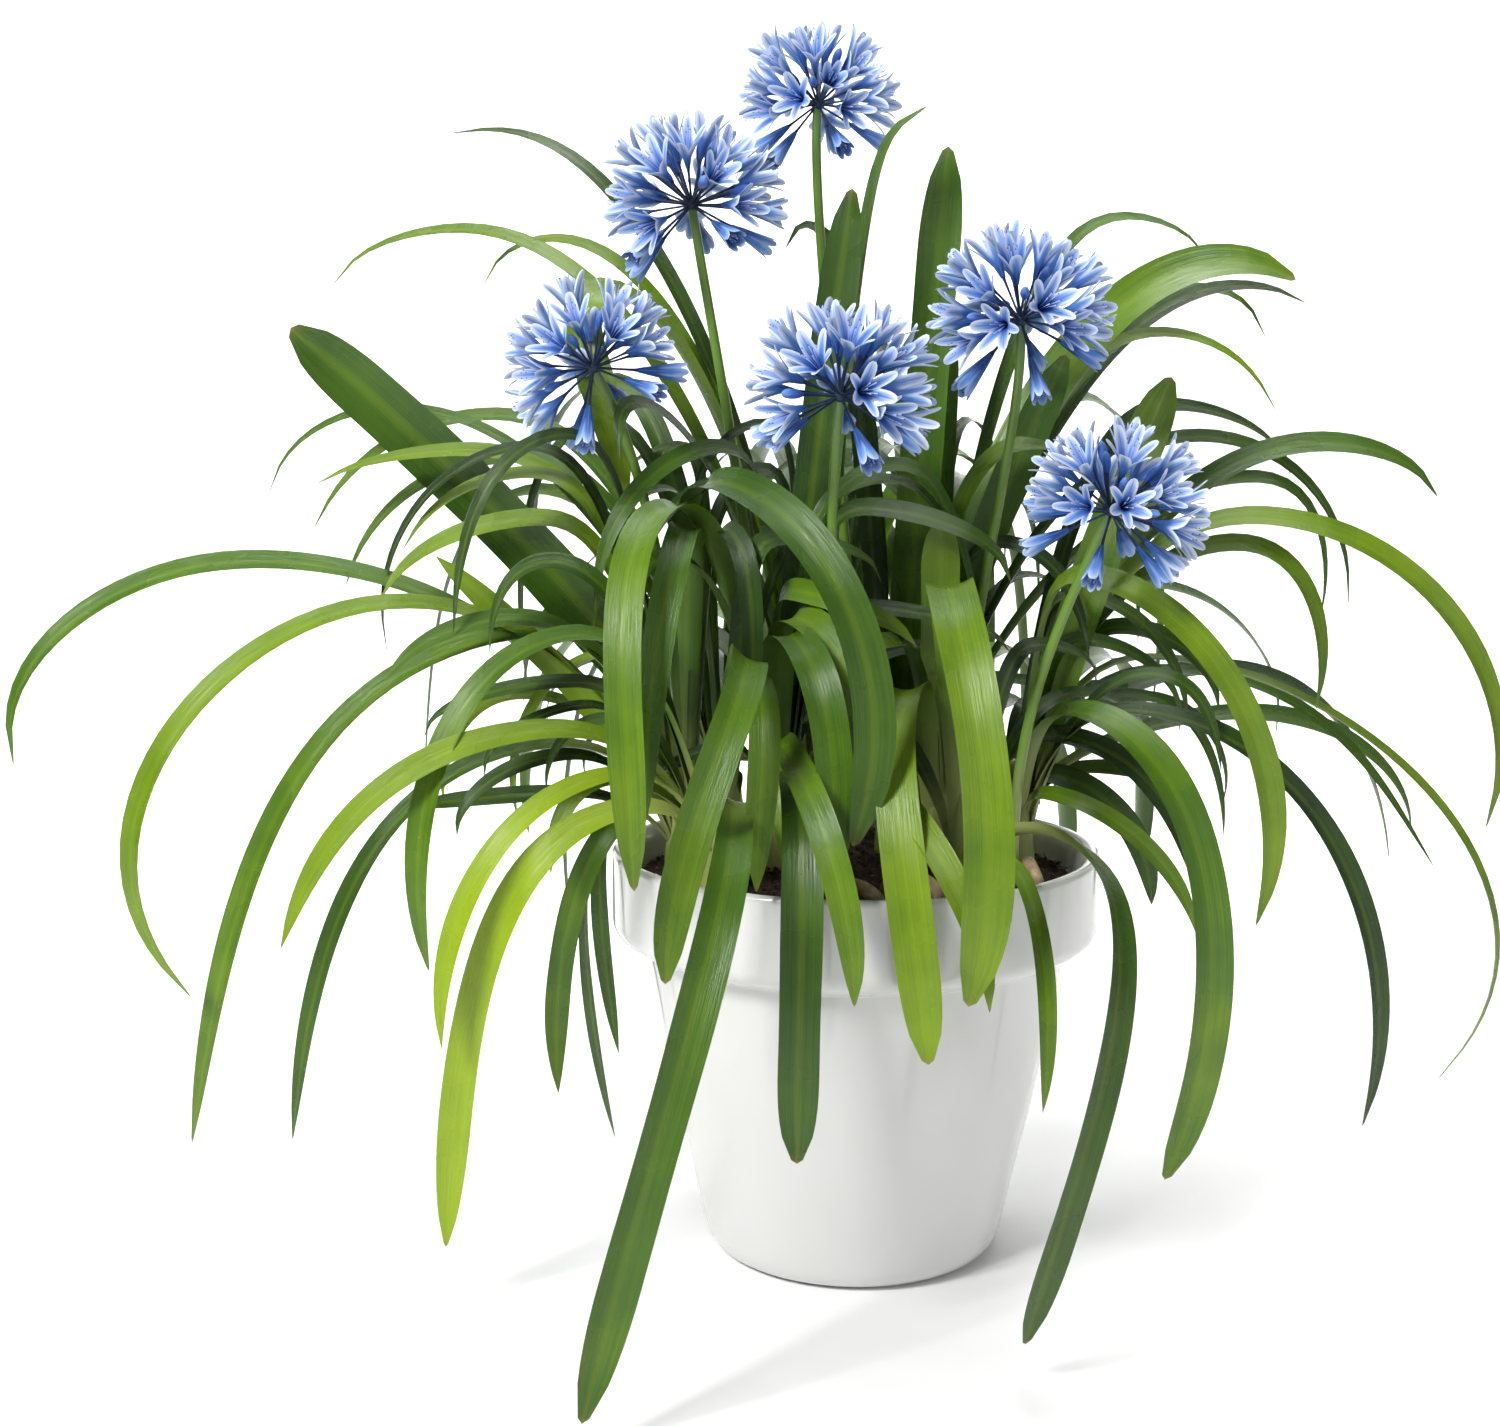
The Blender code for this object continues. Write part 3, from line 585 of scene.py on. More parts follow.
def new_tree(name, inputs):
    """An empty tree with named inputs beside its geometry."""
    tree = bpy.data.node_groups.new(name, "GeometryNodeTree")
    tree.interface.new_socket("Geometry", in_out="INPUT", socket_type="NodeSocketGeometry")
    for label, kind in inputs:
        tree.interface.new_socket(label, in_out="INPUT", socket_type="NodeSocket" + kind)
    tree.interface.new_socket("Geometry", in_out="OUTPUT", socket_type="NodeSocketGeometry")
    return tree, tree.nodes.new("NodeGroupInput"), tree.nodes.new("NodeGroupOutput")


def tree_node(tree, kind, settings=None, inputs=None):
    """Any node of a geometry tree: its settings, then its sockets by name or number."""
    made = tree.nodes.new(kind)
    for key, value in (settings or {}).items():
        setattr(made, key, value)
    for key, value in (inputs or {}).items():
        if isinstance(value, bpy.types.NodeSocket):
            tree.links.new(value, made.inputs[key])
        else:
            made.inputs[key].default_value = value
    return made


def finish_tree(tree, instances, material, output):
    """Make the copies real and give them their material."""
    real = tree_node(tree, "GeometryNodeRealizeInstances", None, {"Geometry": instances})
    dressed = tree_node(tree, "GeometryNodeSetMaterial", None,
                        {"Geometry": real.outputs["Geometry"], "Material": material})
    tree.links.new(dressed.outputs["Geometry"], output.inputs["Geometry"])


def grown(name, base, tree, values):
    """The plain mesh that a tree makes from an object."""
    modifier = base.modifiers.new(name, "NODES")
    modifier.node_group = tree
    for item in tree.interface.items_tree:
        if item.name in values:
            modifier[item.identifier] = values[item.name]
    graph = bpy.context.evaluated_depsgraph_get()
    mesh = bpy.data.meshes.new_from_object(base.evaluated_get(graph))
    base.modifiers.remove(modifier)
    mesh.name = name
    return mesh


def scatter_tree():
    """Scatter a shape over faces, lying nearly flat."""
    tree, given, output = new_tree("scatter", (
        ("Shape", "Object"), ("Density", "Float"), ("Seed", "Int"), ("Smallest", "Float"),
        ("Largest", "Float"), ("Tilt", "Float"), ("Material", "Material")))
    take = given.outputs
    points = tree_node(tree, "GeometryNodeDistributePointsOnFaces", None, {
        "Mesh": take["Geometry"], "Density": take["Density"], "Seed": take["Seed"]})
    tilt_low = tree_node(tree, "ShaderNodeMath", {"operation": "MULTIPLY"},
                         {0: take["Tilt"], 1: -1.0})
    low = tree_node(tree, "ShaderNodeCombineXYZ", None,
                    {"X": tilt_low.outputs[0], "Y": tilt_low.outputs[0], "Z": 0.0})
    high = tree_node(tree, "ShaderNodeCombineXYZ", None,
                     {"X": take["Tilt"], "Y": take["Tilt"], "Z": math.tau})
    turn = tree_node(tree, "FunctionNodeRandomValue", {"data_type": "FLOAT_VECTOR"},
                     {0: low.outputs[0], 1: high.outputs[0], "Seed": take["Seed"]})
    euler = tree_node(tree, "FunctionNodeEulerToRotation", None, {"Euler": turn.outputs[0]})
    size = tree_node(tree, "FunctionNodeRandomValue", {"data_type": "FLOAT"},
                     {2: take["Smallest"], 3: take["Largest"], "Seed": take["Seed"]})
    shape = tree_node(tree, "GeometryNodeObjectInfo", None, {"Object": take["Shape"]})
    copies = tree_node(tree, "GeometryNodeInstanceOnPoints", None, {
        "Points": points.outputs["Points"], "Instance": shape.outputs["Geometry"],
        "Rotation": euler.outputs["Rotation"], "Scale": size.outputs[1]})
    finish_tree(tree, copies.outputs["Instances"], take["Material"], output)
    return tree


# %% [markdown]
# ### Fibres and crumbs
# A fibre is a bent hair a centimetre long, and a crumb is a grain a few millimetres wide. Each is
# modelled once with very few faces, because it is repeated so often, and varies by its turn and size.

# %% Coir fibres and crumbs
SURFACE_RINGS = 12
SURFACE_AROUND = 48
SURFACE_REACH = (0.6, 15.3)
SURFACE_LIFT = 0.12
FIBRE_LINE = ((-7.0, 0.0, 0.0), (-3.0, 1.1, 0.8), (2.0, 0.4, 1.0), (6.5, -1.6, 0.2))
FIBRE_RADII = (0.12, 0.26, 0.24, 0.08)
CRUMB_LINE = ((0.0, 0.0, -1.1), (0.0, 0.0, -0.5), (0.0, 0.0, 0.5), (0.0, 0.0, 1.2))
CRUMB_RADII = (0.7, 1.5, 1.2, 0.4)
COIR_STOPS = ((0.3, (0.020, 0.011, 0.006)), (0.55, (0.085, 0.045, 0.022)), (0.75, (0.27, 0.17, 0.085)))


def plain_object(name, mesh):
    """An object that only serves as a pattern."""
    made = bpy.data.objects.new(name, mesh)
    bpy.context.scene.collection.objects.link(made)
    return made


def make_coir():
    """Dry coir: from dark brown to straw."""
    coir = Paint("coir", 0.85)
    coir.color(coir.ramp(coir.noise(coir.place(), 260.0, 1.0), COIR_STOPS))
    return coir.material


def soil_surface(material):
    """The open surface just above the soil that the fibres lie on."""
    body = Body()
    rings = []
    nearest, farthest = SURFACE_REACH
    for i in range(SURFACE_RINGS):
        radius = nearest + (farthest - nearest) * i / (SURFACE_RINGS - 1)
        rings.append(body.ring(
            SURFACE_AROUND, lambda angle: soil_point(angle, radius, 0.0, SURFACE_LIFT)))
    body.join_rings(rings, False, False)
    return plain_object("soil_surface", body.mesh("soil_surface", material))


def rod_object(name, line, radii, sides, material):
    """A pattern: a rod along a line in mm."""
    body = Body()
    tube(body, [Vector(point) * MM for point in line], [radius * MM for radius in radii], sides)
    return plain_object(name, body.mesh(name, material))


def scatter_fibres():
    """Short bent fibres and small crumbs over the soil."""
    coir = make_coir()
    base = soil_surface(coir)
    fibre = rod_object("fibre", FIBRE_LINE, FIBRE_RADII, 4, coir)
    crumb = rod_object("crumb", CRUMB_LINE, CRUMB_RADII, 5, EARTH)
    tree = scatter_tree()
    fibres = grown("coir_fibres", base, tree, {
        "Shape": fibre, "Density": 26000.0, "Seed": 3, "Smallest": 0.35, "Largest": 1.1,
        "Tilt": 0.45, "Material": coir})
    crumbs = grown("soil_crumbs", base, tree, {
        "Shape": crumb, "Density": 9000.0, "Seed": 8, "Smallest": 0.5, "Largest": 1.7,
        "Tilt": 1.5, "Material": EARTH})
    for obj in (base, fibre, crumb):
        bpy.data.objects.remove(obj, do_unlink=True)
    for mesh in (fibres, crumbs):
        show(mesh.name, mesh, "soil")
        print(mesh.name, "faces", len(mesh.polygons))


scatter_fibres()

# %% [markdown]
# ## Surface roots
# Agapanthus roots are thick, pale and wrinkled, and a few push up out of the soil and arch back into
# it. They could be sculpted, but their wrinkles are finer than a millimetre. So each is a tube along
# the solid's own arch, with a radius that swells and pinches, and bump gives the wrinkles.

# %% Roots
ROOTS = (((-4.4, -7.6), (-1.4, -10.6), 1.9), ((-3.0, -10.9), (1.0, -13.2), 1.6),
         ((1.6, -9.2), (5.0, -11.2), 1.7), ((12.0, -4.6), (11.9, -7.6), 1.5))
ROOT_RADIUS = 5.0 * MM
ROOT_FLOOR = 25.45
ROOT_RISE = 27.4
ROOT_BOW = 0.5
ROOT_STEPS = 32
ROOT_STOPS = ((0.3, (0.16, 0.095, 0.045)), (0.5, (0.40, 0.29, 0.16)), (0.7, (0.62, 0.51, 0.33)))
ROOT_STAIN = (0.06, 0.035, 0.02)


def make_root_skin():
    """Pale tan skin with fine rings and darker soil stains."""
    skin = Paint("root_skin", 0.6)
    place = skin.place()
    along = skin.mark("along")
    stain = skin.noise(place, 90.0, 5.0, 0.65)
    lengthwise = skin.node("CombineXYZ", inputs={"X": along * 60.0}).outputs[0]
    rings = skin.noise(lengthwise, 1.0, 2.0)
    ends = 1.0 - (along.step(0.02, 0.2) * (1.0 - along.step(0.8, 0.98)))
    skin.color(skin.blend(ends * 0.7, skin.ramp(stain, ROOT_STOPS), ROOT_STAIN))
    skin.bump(rings * 0.6 + stain * 0.4, 0.0012, 0.8)
    return skin.material


def make_roots():
    """One piece for each arching root."""
    skin = make_root_skin()
    for number, (start, end, height) in enumerate(ROOTS, 1):
        a, b = Vector((*start, 0.0)), Vector((*end, 0.0))
        bow = (b - a).cross(UP).normalized() * ROOT_BOW
        line = [Vector((*start, ROOT_FLOOR)) * CM]
        for i in range(ROOT_STEPS + 1):
            angle = math.pi * i / ROOT_STEPS
            flat = a.lerp(b, (1 - math.cos(angle)) / 2) + bow * math.sin(angle) ** 2
            line.append((flat + UP * (ROOT_RISE + height * math.sin(angle))) * CM)
        line.append(Vector((*end, ROOT_FLOOR)) * CM)
        radii = [ROOT_RADIUS * (0.92 + 0.1 * noise.noise(point * 90.0)) for point in line]
        body = Body("along")
        tube(body, line, radii, 16)
        show(f"surface_root_{number}", body.mesh(f"surface_root_{number}", skin), "root",
             f"root_{number}")
    print("roots", len(ROOTS))


make_roots()

# %% [markdown]
# ## Leaves
# Each leaf is a strap that leaves its fan nearly upright, arches over and hangs. It could be bent
# from a straight strip by a modifier, but then its tip wouldn't end where it has to. So two cubic
# curves give its midline: the rise to its highest point, and the fall to its tip. The numbers
# below are the solids' own.

# %% Leaf sizes
CROWNS = {
    "left": (-12.0, -1.0), "left_front": (-9.7, -7.5), "mid_left": (-5.6, -1.0),
    "mid": (3.0, 4.0), "mid_right": (5.8, 0.5), "right_front": (7.1, -6.0), "right": (11.3, 0.0),
    "back_left": (-9.0, 6.0), "back": (-2.0, 10.0), "back_right": (5.5, 9.5),
    "far_right": (11.0, 5.5), "inner": (-2.5, 4.2)}
LEAF_FOOT = 29.5
LEAF_ROLL = 46
NARROW_LEAF = 14 * MM
BROAD_LEAF = 26 * MM

# Leaves by crown: width in mm, then in cm the highest point (none on a leaf that only rises)
# and the tip, then how far the fall swings out beyond the tip, and on some how many cm the fall
# bows to the right
LEAVES = {
    "mid_right": (
        (28, (3.2, -5, 41), (3, -19, 19), 0.0, -0.6), (26, None, (5.5, -3, 52), 0.0),
        (18, (2.5, -5, 44), (-0.5, -9, 43.5), 0.0)),
    "right_front": (
        (31, (5.5, -8, 48.5), (6, -20, 23), 0.1, 2.4),
        (26, (12, -10, 32), (9.5, -23, 2.5), 0.5, 2.2),
        (12, (9, -11, 30.5), (11, -18, 15.5), 0.3)),
    "left": (
        (28, (-10.5, -5, 55), (0.5, -14, 32), 0.1, 2.6),
        (19, (-42, 0, 49), (-58, -3, 35), 0.3), (19, (-31, -4, 46.5), (-45, -8, 20), 1.0),
        (14, (-22, 2, 55), (-31.5, 0, 49.5), -0.2), (17, (-21, -1, 52), (-32.5, -3, 46.5), -0.1),
        (16, (-23, -5, 45.5), (-31.5, -8, 41.5), -0.2), (18, None, (-28.5, -4, 49.5), 0.0),
        (20, (-20.5, -3, 44.5), (-46, -6, 9), -0.15), (18, (-20, -2, 36.5), (-39.5, -4, 8.5), -0.1),
        (17, (-14, -5, 33), (-20.5, -7, 13), 0.1), (14, (-15, 0, 33), (-17, -2, 8), 0.5),
        (13, (-16.5, 1, 42.5), (-23.5, -2, 31), 0.3), (12, (-23.5, 1, 39.5), (-29, 0, 31.5), 0.1),
        (20, (-11.5, -7, 52), (-14, -16, 33.5), 0.1)),
    "left_front": (
        (18, (-20, -12, 39), (-37.5, -14, 25), -0.2), (20, (-18, -9, 45), (-28, -14, 23.5), 0.3),
        (16, (-15.5, -11, 36), (-27, -16, 19), 0.1), (22, (-14.5, -12, 34), (-27.5, -13, 4.5), -0.1),
        (14, (-16.5, -8, 35), (-20.5, -10, 29), 0.0), (27, (-8.5, -14, 35), (-17, -32, 2), -0.2, 1.8),
        (25, (-7.5, -12, 44), (-12.5, -22, 25), 0.0), (20, (-7.5, -11, 42.5), (-7, -17, 29.5), 0.0)),
    "mid_left": (
        (26, (-6.5, -11, 36), (-8.5, -20, 13), 0.1), (24, (-12, -8, 53.5), (-14.5, -19, 30), 0.1),
        (18, (-12.5, -9, 50), (-15, -12, 47), 0.1), (16, (-6.5, -6, 37.5), (-4.5, -13, 28), 0.0),
        (24, (-4.5, -7, 46), (0, -12, 33.5), 0.1, 1.0),
        (25, (-5, -9, 45), (-2.5, -15, 29.5), 0.1, 0.8), (20, (-5.5, -10, 38), (-1, -20, 23), 0.1),
        (17, (-4.5, -5, 47.5), (4.5, -8, 44), 0.0), (27, None, (-0.5, 0, 74), 0.0)),
    "mid": (
        (18, (-2, -10, 35), (1.5, -20, 22.5), 0.1), (26, None, (14.5, 2, 63), 0.0),
        (20, (11, 0, 55), (14, 0, 54.5), 0.0), (36, (27.5, 9, 70), (32, 9, 68.5), 0.0),
        (16, (-4, 7, 73), (-5.5, 6, 70.5), 0.0), (16, None, (-1, 4, 71.5), 0.0),
        (30, None, (6.5, 6, 77.5), 0.0)),
    "right": (
        (27, (14, -5, 39.5), (20.5, -10, 8), 0.35, 2.0), (20, (14, -3, 48.5), (26.5, -8, 25), 0.4),
        (19, (18, -2, 39), (35.5, -4, 9.5), 0.3), (14, (19.5, 3, 42), (43, 3, 10.5), 0.9),
        (30, None, (22, 3, 61.5), 0.0), (18, (13, -1, 37), (24.5, -3, 24.5), -0.2),
        (12, (13, -5, 33.5), (22.5, -8, 24.5), -0.1)),
    "far_right": (
        (20, (27.5, 2, 52), (44.5, 0, 30), 0.35), (20, (33.5, 6, 57), (42, 6, 53), 0.0),
        (17, (27.5, 4, 50), (33, 3, 38), 0.3), (18, (13.5, 3, 33.5), (21.5, 2, 24), 0.0),
        (12, (22, 7, 40.5), (43.5, 7, 25.5), -0.4), (10, (20, 5, 39), (27, 4, 28.5), 0.0)),
    "back_left": (
        (42, None, (-40, 6, 65), 0.0), (10, (-33, 8, 59.5), (-42.5, 8, 53), 0.0),
        (14, (-26.5, 4, 56.5), (-38, 3, 54), -0.2), (15, (-25.5, 10, 59), (-39.5, 9, 50.5), -0.2),
        (14, (-23.5, 7, 56), (-36.5, 5, 46.5), -0.1), (14, (-15.5, 5, 32), (-17, 3, 12.5), 0.4)),
    "inner": (
        (14, (-29, 10, 72.5), (-39, 10, 68), 0.1), (17, (-16.5, -1, 60), (-17.5, -3, 56), 0.0),
        (26, (-17, 0, 68), (-13.5, -5, 53), 0.0), (22, (3, 1, 79), (4.6, 1, 79.5), 0.0)),
    "back": (
        (14, (-26.5, 15, 80), (-30, 15, 79.5), 0.0), (13, (-22, 13, 72), (-27.5, 14, 68), 0.1)),
    "back_right": (
        (13, (25, 8, 57.5), (36.5, 8, 45), 0.1), (13, (30.5, 10, 54.5), (35, 10, 43.5), 0.3),
        (13, (19.5, 12, 73.5), (26.5, 12, 70), 0.0), (16, (29, 13, 68.5), (34, 13, 67), 0.0),
        (15, (27, 15, 68.5), (31.5, 15, 64.5), 0.0), (12, (22, 10, 65), (31, 9, 59), -0.2),
        (20, None, (7, 8, 67), 0.0))}

# Leaves of the side away from the viewer, drawn by a rule: crown, how many, middle bearing, spread
BACK_FANS = (("back_left", 5, -145, 35), ("back", 8, -180, 45), ("back_right", 6, 155, 30),
             ("far_right", 4, 125, 25), ("inner", 1, -120, 10), ("mid", 1, 165, 25))
BACK_SEED = 7

# %% Leaf curves


def bezier(points, t):
    """A point on a cubic curve."""
    a, b, c, d = points
    s = 1.0 - t
    return s * s * s * a + 3 * s * s * t * b + 3 * s * t * t * c + t * t * t * d


def level(vector):
    """The unit vector of a direction's level part."""
    flat = Vector((vector.x, vector.y, 0.0))
    return flat.normalized() if flat.length > 1e-6 else Vector((0.0, -1.0, 0.0))


def leaf_curves(foot, apex, tip, swing, bow):
    """The cubic curves of a leaf: one rise, and one fall where it has a highest point."""
    if apex is None:
        span = tip - foot
        lean = level(span) * (0.15 * math.hypot(span.x, span.y))
        return [(foot, foot + UP * 0.35 * span.z + lean, foot + span * 0.72 + UP * 0.08 * span.z, tip)]
    out, down = level(apex - foot), level(tip - apex)
    heading = (out * 0.6 + down * 0.4).normalized()
    reach = math.hypot(apex.x - foot.x, apex.y - foot.y)
    drop = apex.z - tip.z
    throw = math.hypot(tip.x - apex.x, tip.y - apex.y)
    rise = (foot, foot + UP * 0.5 * (apex.z - foot.z) + out * 0.12 * reach,
            apex - heading * max(0.5 * reach, 1.5 * CM), apex)
    aside = Vector((4 / 3 * bow, 0.0, 0.0)) * CM
    fall = (apex, apex + heading * (0.5 * throw + 0.18 * drop) + aside,
            tip + UP * 0.42 * drop + down * swing * (0.35 * throw + 0.2 * drop) + aside, tip)
    return [rise, fall]


def leaf_line(foot, apex, tip, swing, bow, pieces):
    """Points at equal steps along a leaf's midline."""
    dense = [bezier(curve, i / 24) for curve in leaf_curves(foot, apex, tip, swing, bow)
             for i in range(25)]
    lengths = [0.0]
    for before, after in zip(dense, dense[1:]):
        lengths.append(lengths[-1] + (after - before).length)
    line = []
    for i in range(pieces + 1):
        goal = lengths[-1] * i / pieces
        at = max(1, next((k for k, v in enumerate(lengths) if v >= goal - 1e-9), len(dense) - 1))
        part = (goal - lengths[at - 1]) / max(lengths[at] - lengths[at - 1], 1e-9)
        line.append(dense[at - 1].lerp(dense[at], part))
    return line


def leaf_width(t, width):
    """Share of the full width along a leaf, whose tip is blunt where the leaf is broad."""
    spread = min(t / 0.4, 1.0)
    body = 0.55 + 0.45 * spread * spread * (3 - 2 * spread)
    blunt = min(1.0, max(0.0, (width - NARROW_LEAF) / (BROAD_LEAF - NARROW_LEAF)))
    taper = 0.68 + 0.16 * blunt
    point = max(0.0, (t - taper) / (1.0 - taper))
    return body * (1.0 - point ** 2.4) ** (1.0 - 0.45 * blunt)


def side_vectors(line, rises):
    """A side direction at each point of a midline, carried along it.

    A leaf that only rises faces the front, and one that arches rolls a little towards it.
    """
    last = len(line) - 1
    tangents = [(line[min(i + 1, last)] - line[max(i - 1, 0)]).normalized() for i in range(last + 1)]
    heading = level(line[-1] - line[0])
    side = Vector((1.0, 0.0, 0.0)) if rises else heading.cross(UP).normalized()
    roll = 0.0 if rises else math.radians(LEAF_ROLL) * heading.x
    sides = []
    for i, tangent in enumerate(tangents):
        side = (side - tangent * side.dot(tangent)).normalized()
        turn = roll * min(1.0, 1.6 * i / last)
        sides.append(Matrix.Rotation(turn, 3, tangent) @ side)
    return tangents, sides


def turned(point, foot, angle, lift):
    """A point turned about a crown's upright axis and lifted."""
    if point is None:
        return None
    spun = Matrix.Rotation(math.radians(angle), 3, "Z") @ (point - foot)
    return foot + spun + UP * lift


def back_leaves():
    """The rows of the far side, drawn by the rule."""
    draw = random.Random(BACK_SEED)
    rows = []
    for crown, count, bearing, spread in BACK_FANS:
        x, y = CROWNS[crown]
        for i in range(count):
            angle = math.radians(bearing + spread * (2 * (i + 0.5) / count - 1) + draw.uniform(-6, 6))
            away = Vector((math.sin(angle), -math.cos(angle), 0.0))
            rise = draw.uniform(36, 66)
            reach = draw.uniform(10, 20)
            apex = Vector((x, y, rise)) + away * reach
            tip = apex + away * draw.uniform(8, 20) - UP * draw.uniform(0.25, 0.8) * (rise - 6)
            rows.append((crown, draw.uniform(15, 26), tuple(apex), tuple(tip), draw.uniform(-0.1, 0.3)))
    return rows


def leaf_rows():
    """Every leaf as crown, width, highest point, tip, swing and bow."""
    rows = [(crown, *row) for crown, group in LEAVES.items() for row in group] + back_leaves()
    return [row if len(row) == 6 else (*row, 0.0) for row in rows]


NUDGES = sorted(((turn, lift) for turn in range(-24, 25, 2) for lift in (-2.0, -1.0, 0.0, 1.0, 2.0)),
                key=lambda pair: (abs(pair[0]) + 3 * abs(pair[1]), pair))

# %% [markdown]
# ### Finding each leaf again
# In the solids a leaf may be turned or lifted a little, in steps, so that it crosses no other fan.
# Those steps could be written down here, but the solids hold them already. So the tip of each leaf
# is looked up among its fan's points for every step, and the step that comes nearest is taken.

# %% Find the settled leaves
NEAR_ENOUGH = 0.1 * MM
CLASP = 0.4 * CM


def crown_points(crown):
    """A search tree of the solid's points."""
    points = frame["nodes"][f"crown_{crown}"].data.vertices
    tree = KDTree(len(points))
    for i, point in enumerate(points):
        tree.insert(point.co, i)
    tree.balance()
    return tree


def settled_leaves():
    """Each leaf's crown, foot, highest point, tip, swing, bow and width, as the solids have them."""
    trees = {crown: crown_points(crown) for crown in CROWNS}
    found, missed = [], 0
    for crown, width, apex, tip, swing, bow in leaf_rows():
        x, y = CROWNS[crown]
        middle = Vector((x, y, LEAF_FOOT)) * CM
        tip_m = Vector(tip) * CM
        options = [(trees[crown].find(turned(tip_m, middle, turn, lift * CM))[2], k)
                   for k, (turn, lift) in enumerate(NUDGES)]
        distance, best = min(options, key=lambda pair: (round(pair[0], 5), pair[1]))
        if distance > NEAR_ENOUGH:
            missed += 1
            continue
        turn, lift = NUDGES[best]
        high = turned(Vector(apex) * CM if apex else None, middle, turn, lift * CM)
        end = turned(tip_m, middle, turn, lift * CM)
        foot = middle + level((high or end) - middle) * CLASP
        found.append((crown, foot, high, end, swing, bow, width * MM))
    print("leaves found", len(found), "not found", missed)
    return found


# %% [markdown]
# ### Leaf surface
# A leaf is satin green with fine veins along it. It is paler at its foot, greyer underneath and
# brighter in some leaves than in others. That brightness is partly a tone that differs at random and
# partly painted light, which stands in for the light that young and thin leaves let through. The
# veins could be modelled, but they are finer than a tenth of a millimetre. So noise that is
# stretched along the leaf gives them, as colour and as bump.

# %% Leaf paint
LEAF_DEEP = (0.012, 0.036, 0.003)
LEAF_MID = (0.058, 0.138, 0.005)
LEAF_BRIGHT = (0.270, 0.39, 0.008)
LEAF_PALE = (0.46, 0.50, 0.17)
LEAF_UNDER = (0.090, 0.160, 0.030)
LEAF_DRY = (0.30, 0.20, 0.06)
VEINS = (46.0, 5.0, 0.0)
FINE_VEINS = (120.0, 9.0, 0.0)


def make_leaf_green():
    """Satin leaf with veins, a channel, a pale foot and a tone that is partly painted light."""
    green = Paint("leaf_green", 0.4, Specular_IOR_Level=0.44)
    across_along = green.node("UVMap", {"uv_map": "across_along"}).outputs["UV"]
    across = green.parts(across_along)[0]
    height = green.parts(green.place())[2]
    tone = green.mark("tone")
    along = green.mark("along")
    under = green.mark("under")
    veins = green.noise(green.stretched(across_along, VEINS), 1.0, 3.0, 0.6)
    fine = green.noise(green.stretched(across_along, FINE_VEINS), 1.0, 2.0)
    blotch = green.noise(green.place(), 22.0, 3.0)
    # tone: partly each leaf's own colour at random, partly painted light for light coming through the
    # leaf
    shade = tone + (blotch - 0.5) * 0.40 + (veins - 0.5) * 0.44 + (along - 0.5) * 0.12
    shade = shade + (fine - 0.5) * 0.16
    base = green.ramp(shade, ((0.0, LEAF_DEEP), (0.45, LEAF_MID), (1.0, LEAF_BRIGHT)))
    channel = 1.0 - (across - 0.5).size().step(0.02, 0.16)
    base = green.blend(channel * 0.13, base, LEAF_BRIGHT)
    base = green.blend(under * 0.45, base, LEAF_UNDER)
    foot = 1.0 - height.step(0.30, 0.42)
    base = green.blend(foot * 0.75 * (1.0 - along.step(0.12, 0.3)), base, LEAF_PALE)
    base = green.blend(along.step(0.965, 1.0) * 0.6, base, LEAF_DRY)
    green.color(base)
    green.rough(0.20 + 0.15 * blotch + 0.15 * under)
    green.bump(veins * 0.6 + fine * 0.4, 0.0007, 0.8)
    return green.material


LEAF_GREEN = make_leaf_green()

# %% [markdown]
# ### Leaf shapes
# A leaf is a shallow gutter that opens towards its tip, and broad leaves end bluntly. A flat sheet
# with a Solidify modifier would have an even thickness. Here the ribbon is a closed body with thin
# edges and a thick middle. The clasping leaf bases are one ridged body of rings in each fan.

# %% Leaf shapes
LEAF_PIECES = 44
LEAF_ACROSS = 8
EASINGS = 4
# Base tone of each fan: higher in the fans on the left and front left, partly painted light that stands
# in for light coming through their leaves
BRIGHT_CROWNS = {"left_front": 0.62, "left": 0.42, "mid_left": 0.40}
PLAIN_TONE = 0.30
# Leaves that hang farther to the front than this keep a darker tone, at most HANGING_TONE
HANGING_FRONT = -26.0 * CM
HANGING_TONE = 0.42
FALSE_STEM = ((24.9, 1.38), (27.0, 1.4), (28.2, 1.38), (30.0, 1.2), (31.5, 1.02), (33.5, 0.82),
              (34.7, 0.6), (35.0, 0.2))
STEM_AROUND = 28


def eased(line):
    """The midline with its tight corners eased, and its ends kept."""
    for _ in range(EASINGS):
        inner = [(before + point * 2 + after) / 4
                 for before, point, after in zip(line, line[1:], line[2:])]
        line = [line[0], *inner, line[-1]]
    return line


def leaf(body, foot, apex, tip, swing, bow, width, tone):
    """One strap leaf with a channel that opens towards the tip."""
    line = eased(leaf_line(foot, apex, tip, swing, bow, LEAF_PIECES))
    length = sum((far - near).length for near, far in zip(line, line[1:]))
    _, sides = side_vectors(line, apex is None)
    line[-2] = line[-2].lerp(line[-1], 0.7)
    halves, dips, thick, lengths = [], [], [], []
    for i in range(LEAF_PIECES + 1):
        t = (i + 0.7 if i == LEAF_PIECES - 1 else i) / LEAF_PIECES
        half = 0.5 * width * leaf_width(t, width)
        wave = 1.0 + 0.02 * math.sin(19.0 * t + tone * 40.0)
        halves.append(half * wave)
        dips.append((0.42 - 0.2 * t) * half)
        thick.append((0.9 * MM + 0.03 * width) * (1.0 - 0.5 * t))
        lengths.append(length * t)
    ribbon(body, line, sides, halves, dips, thick, LEAF_ACROSS, {"tone": tone}, lengths)


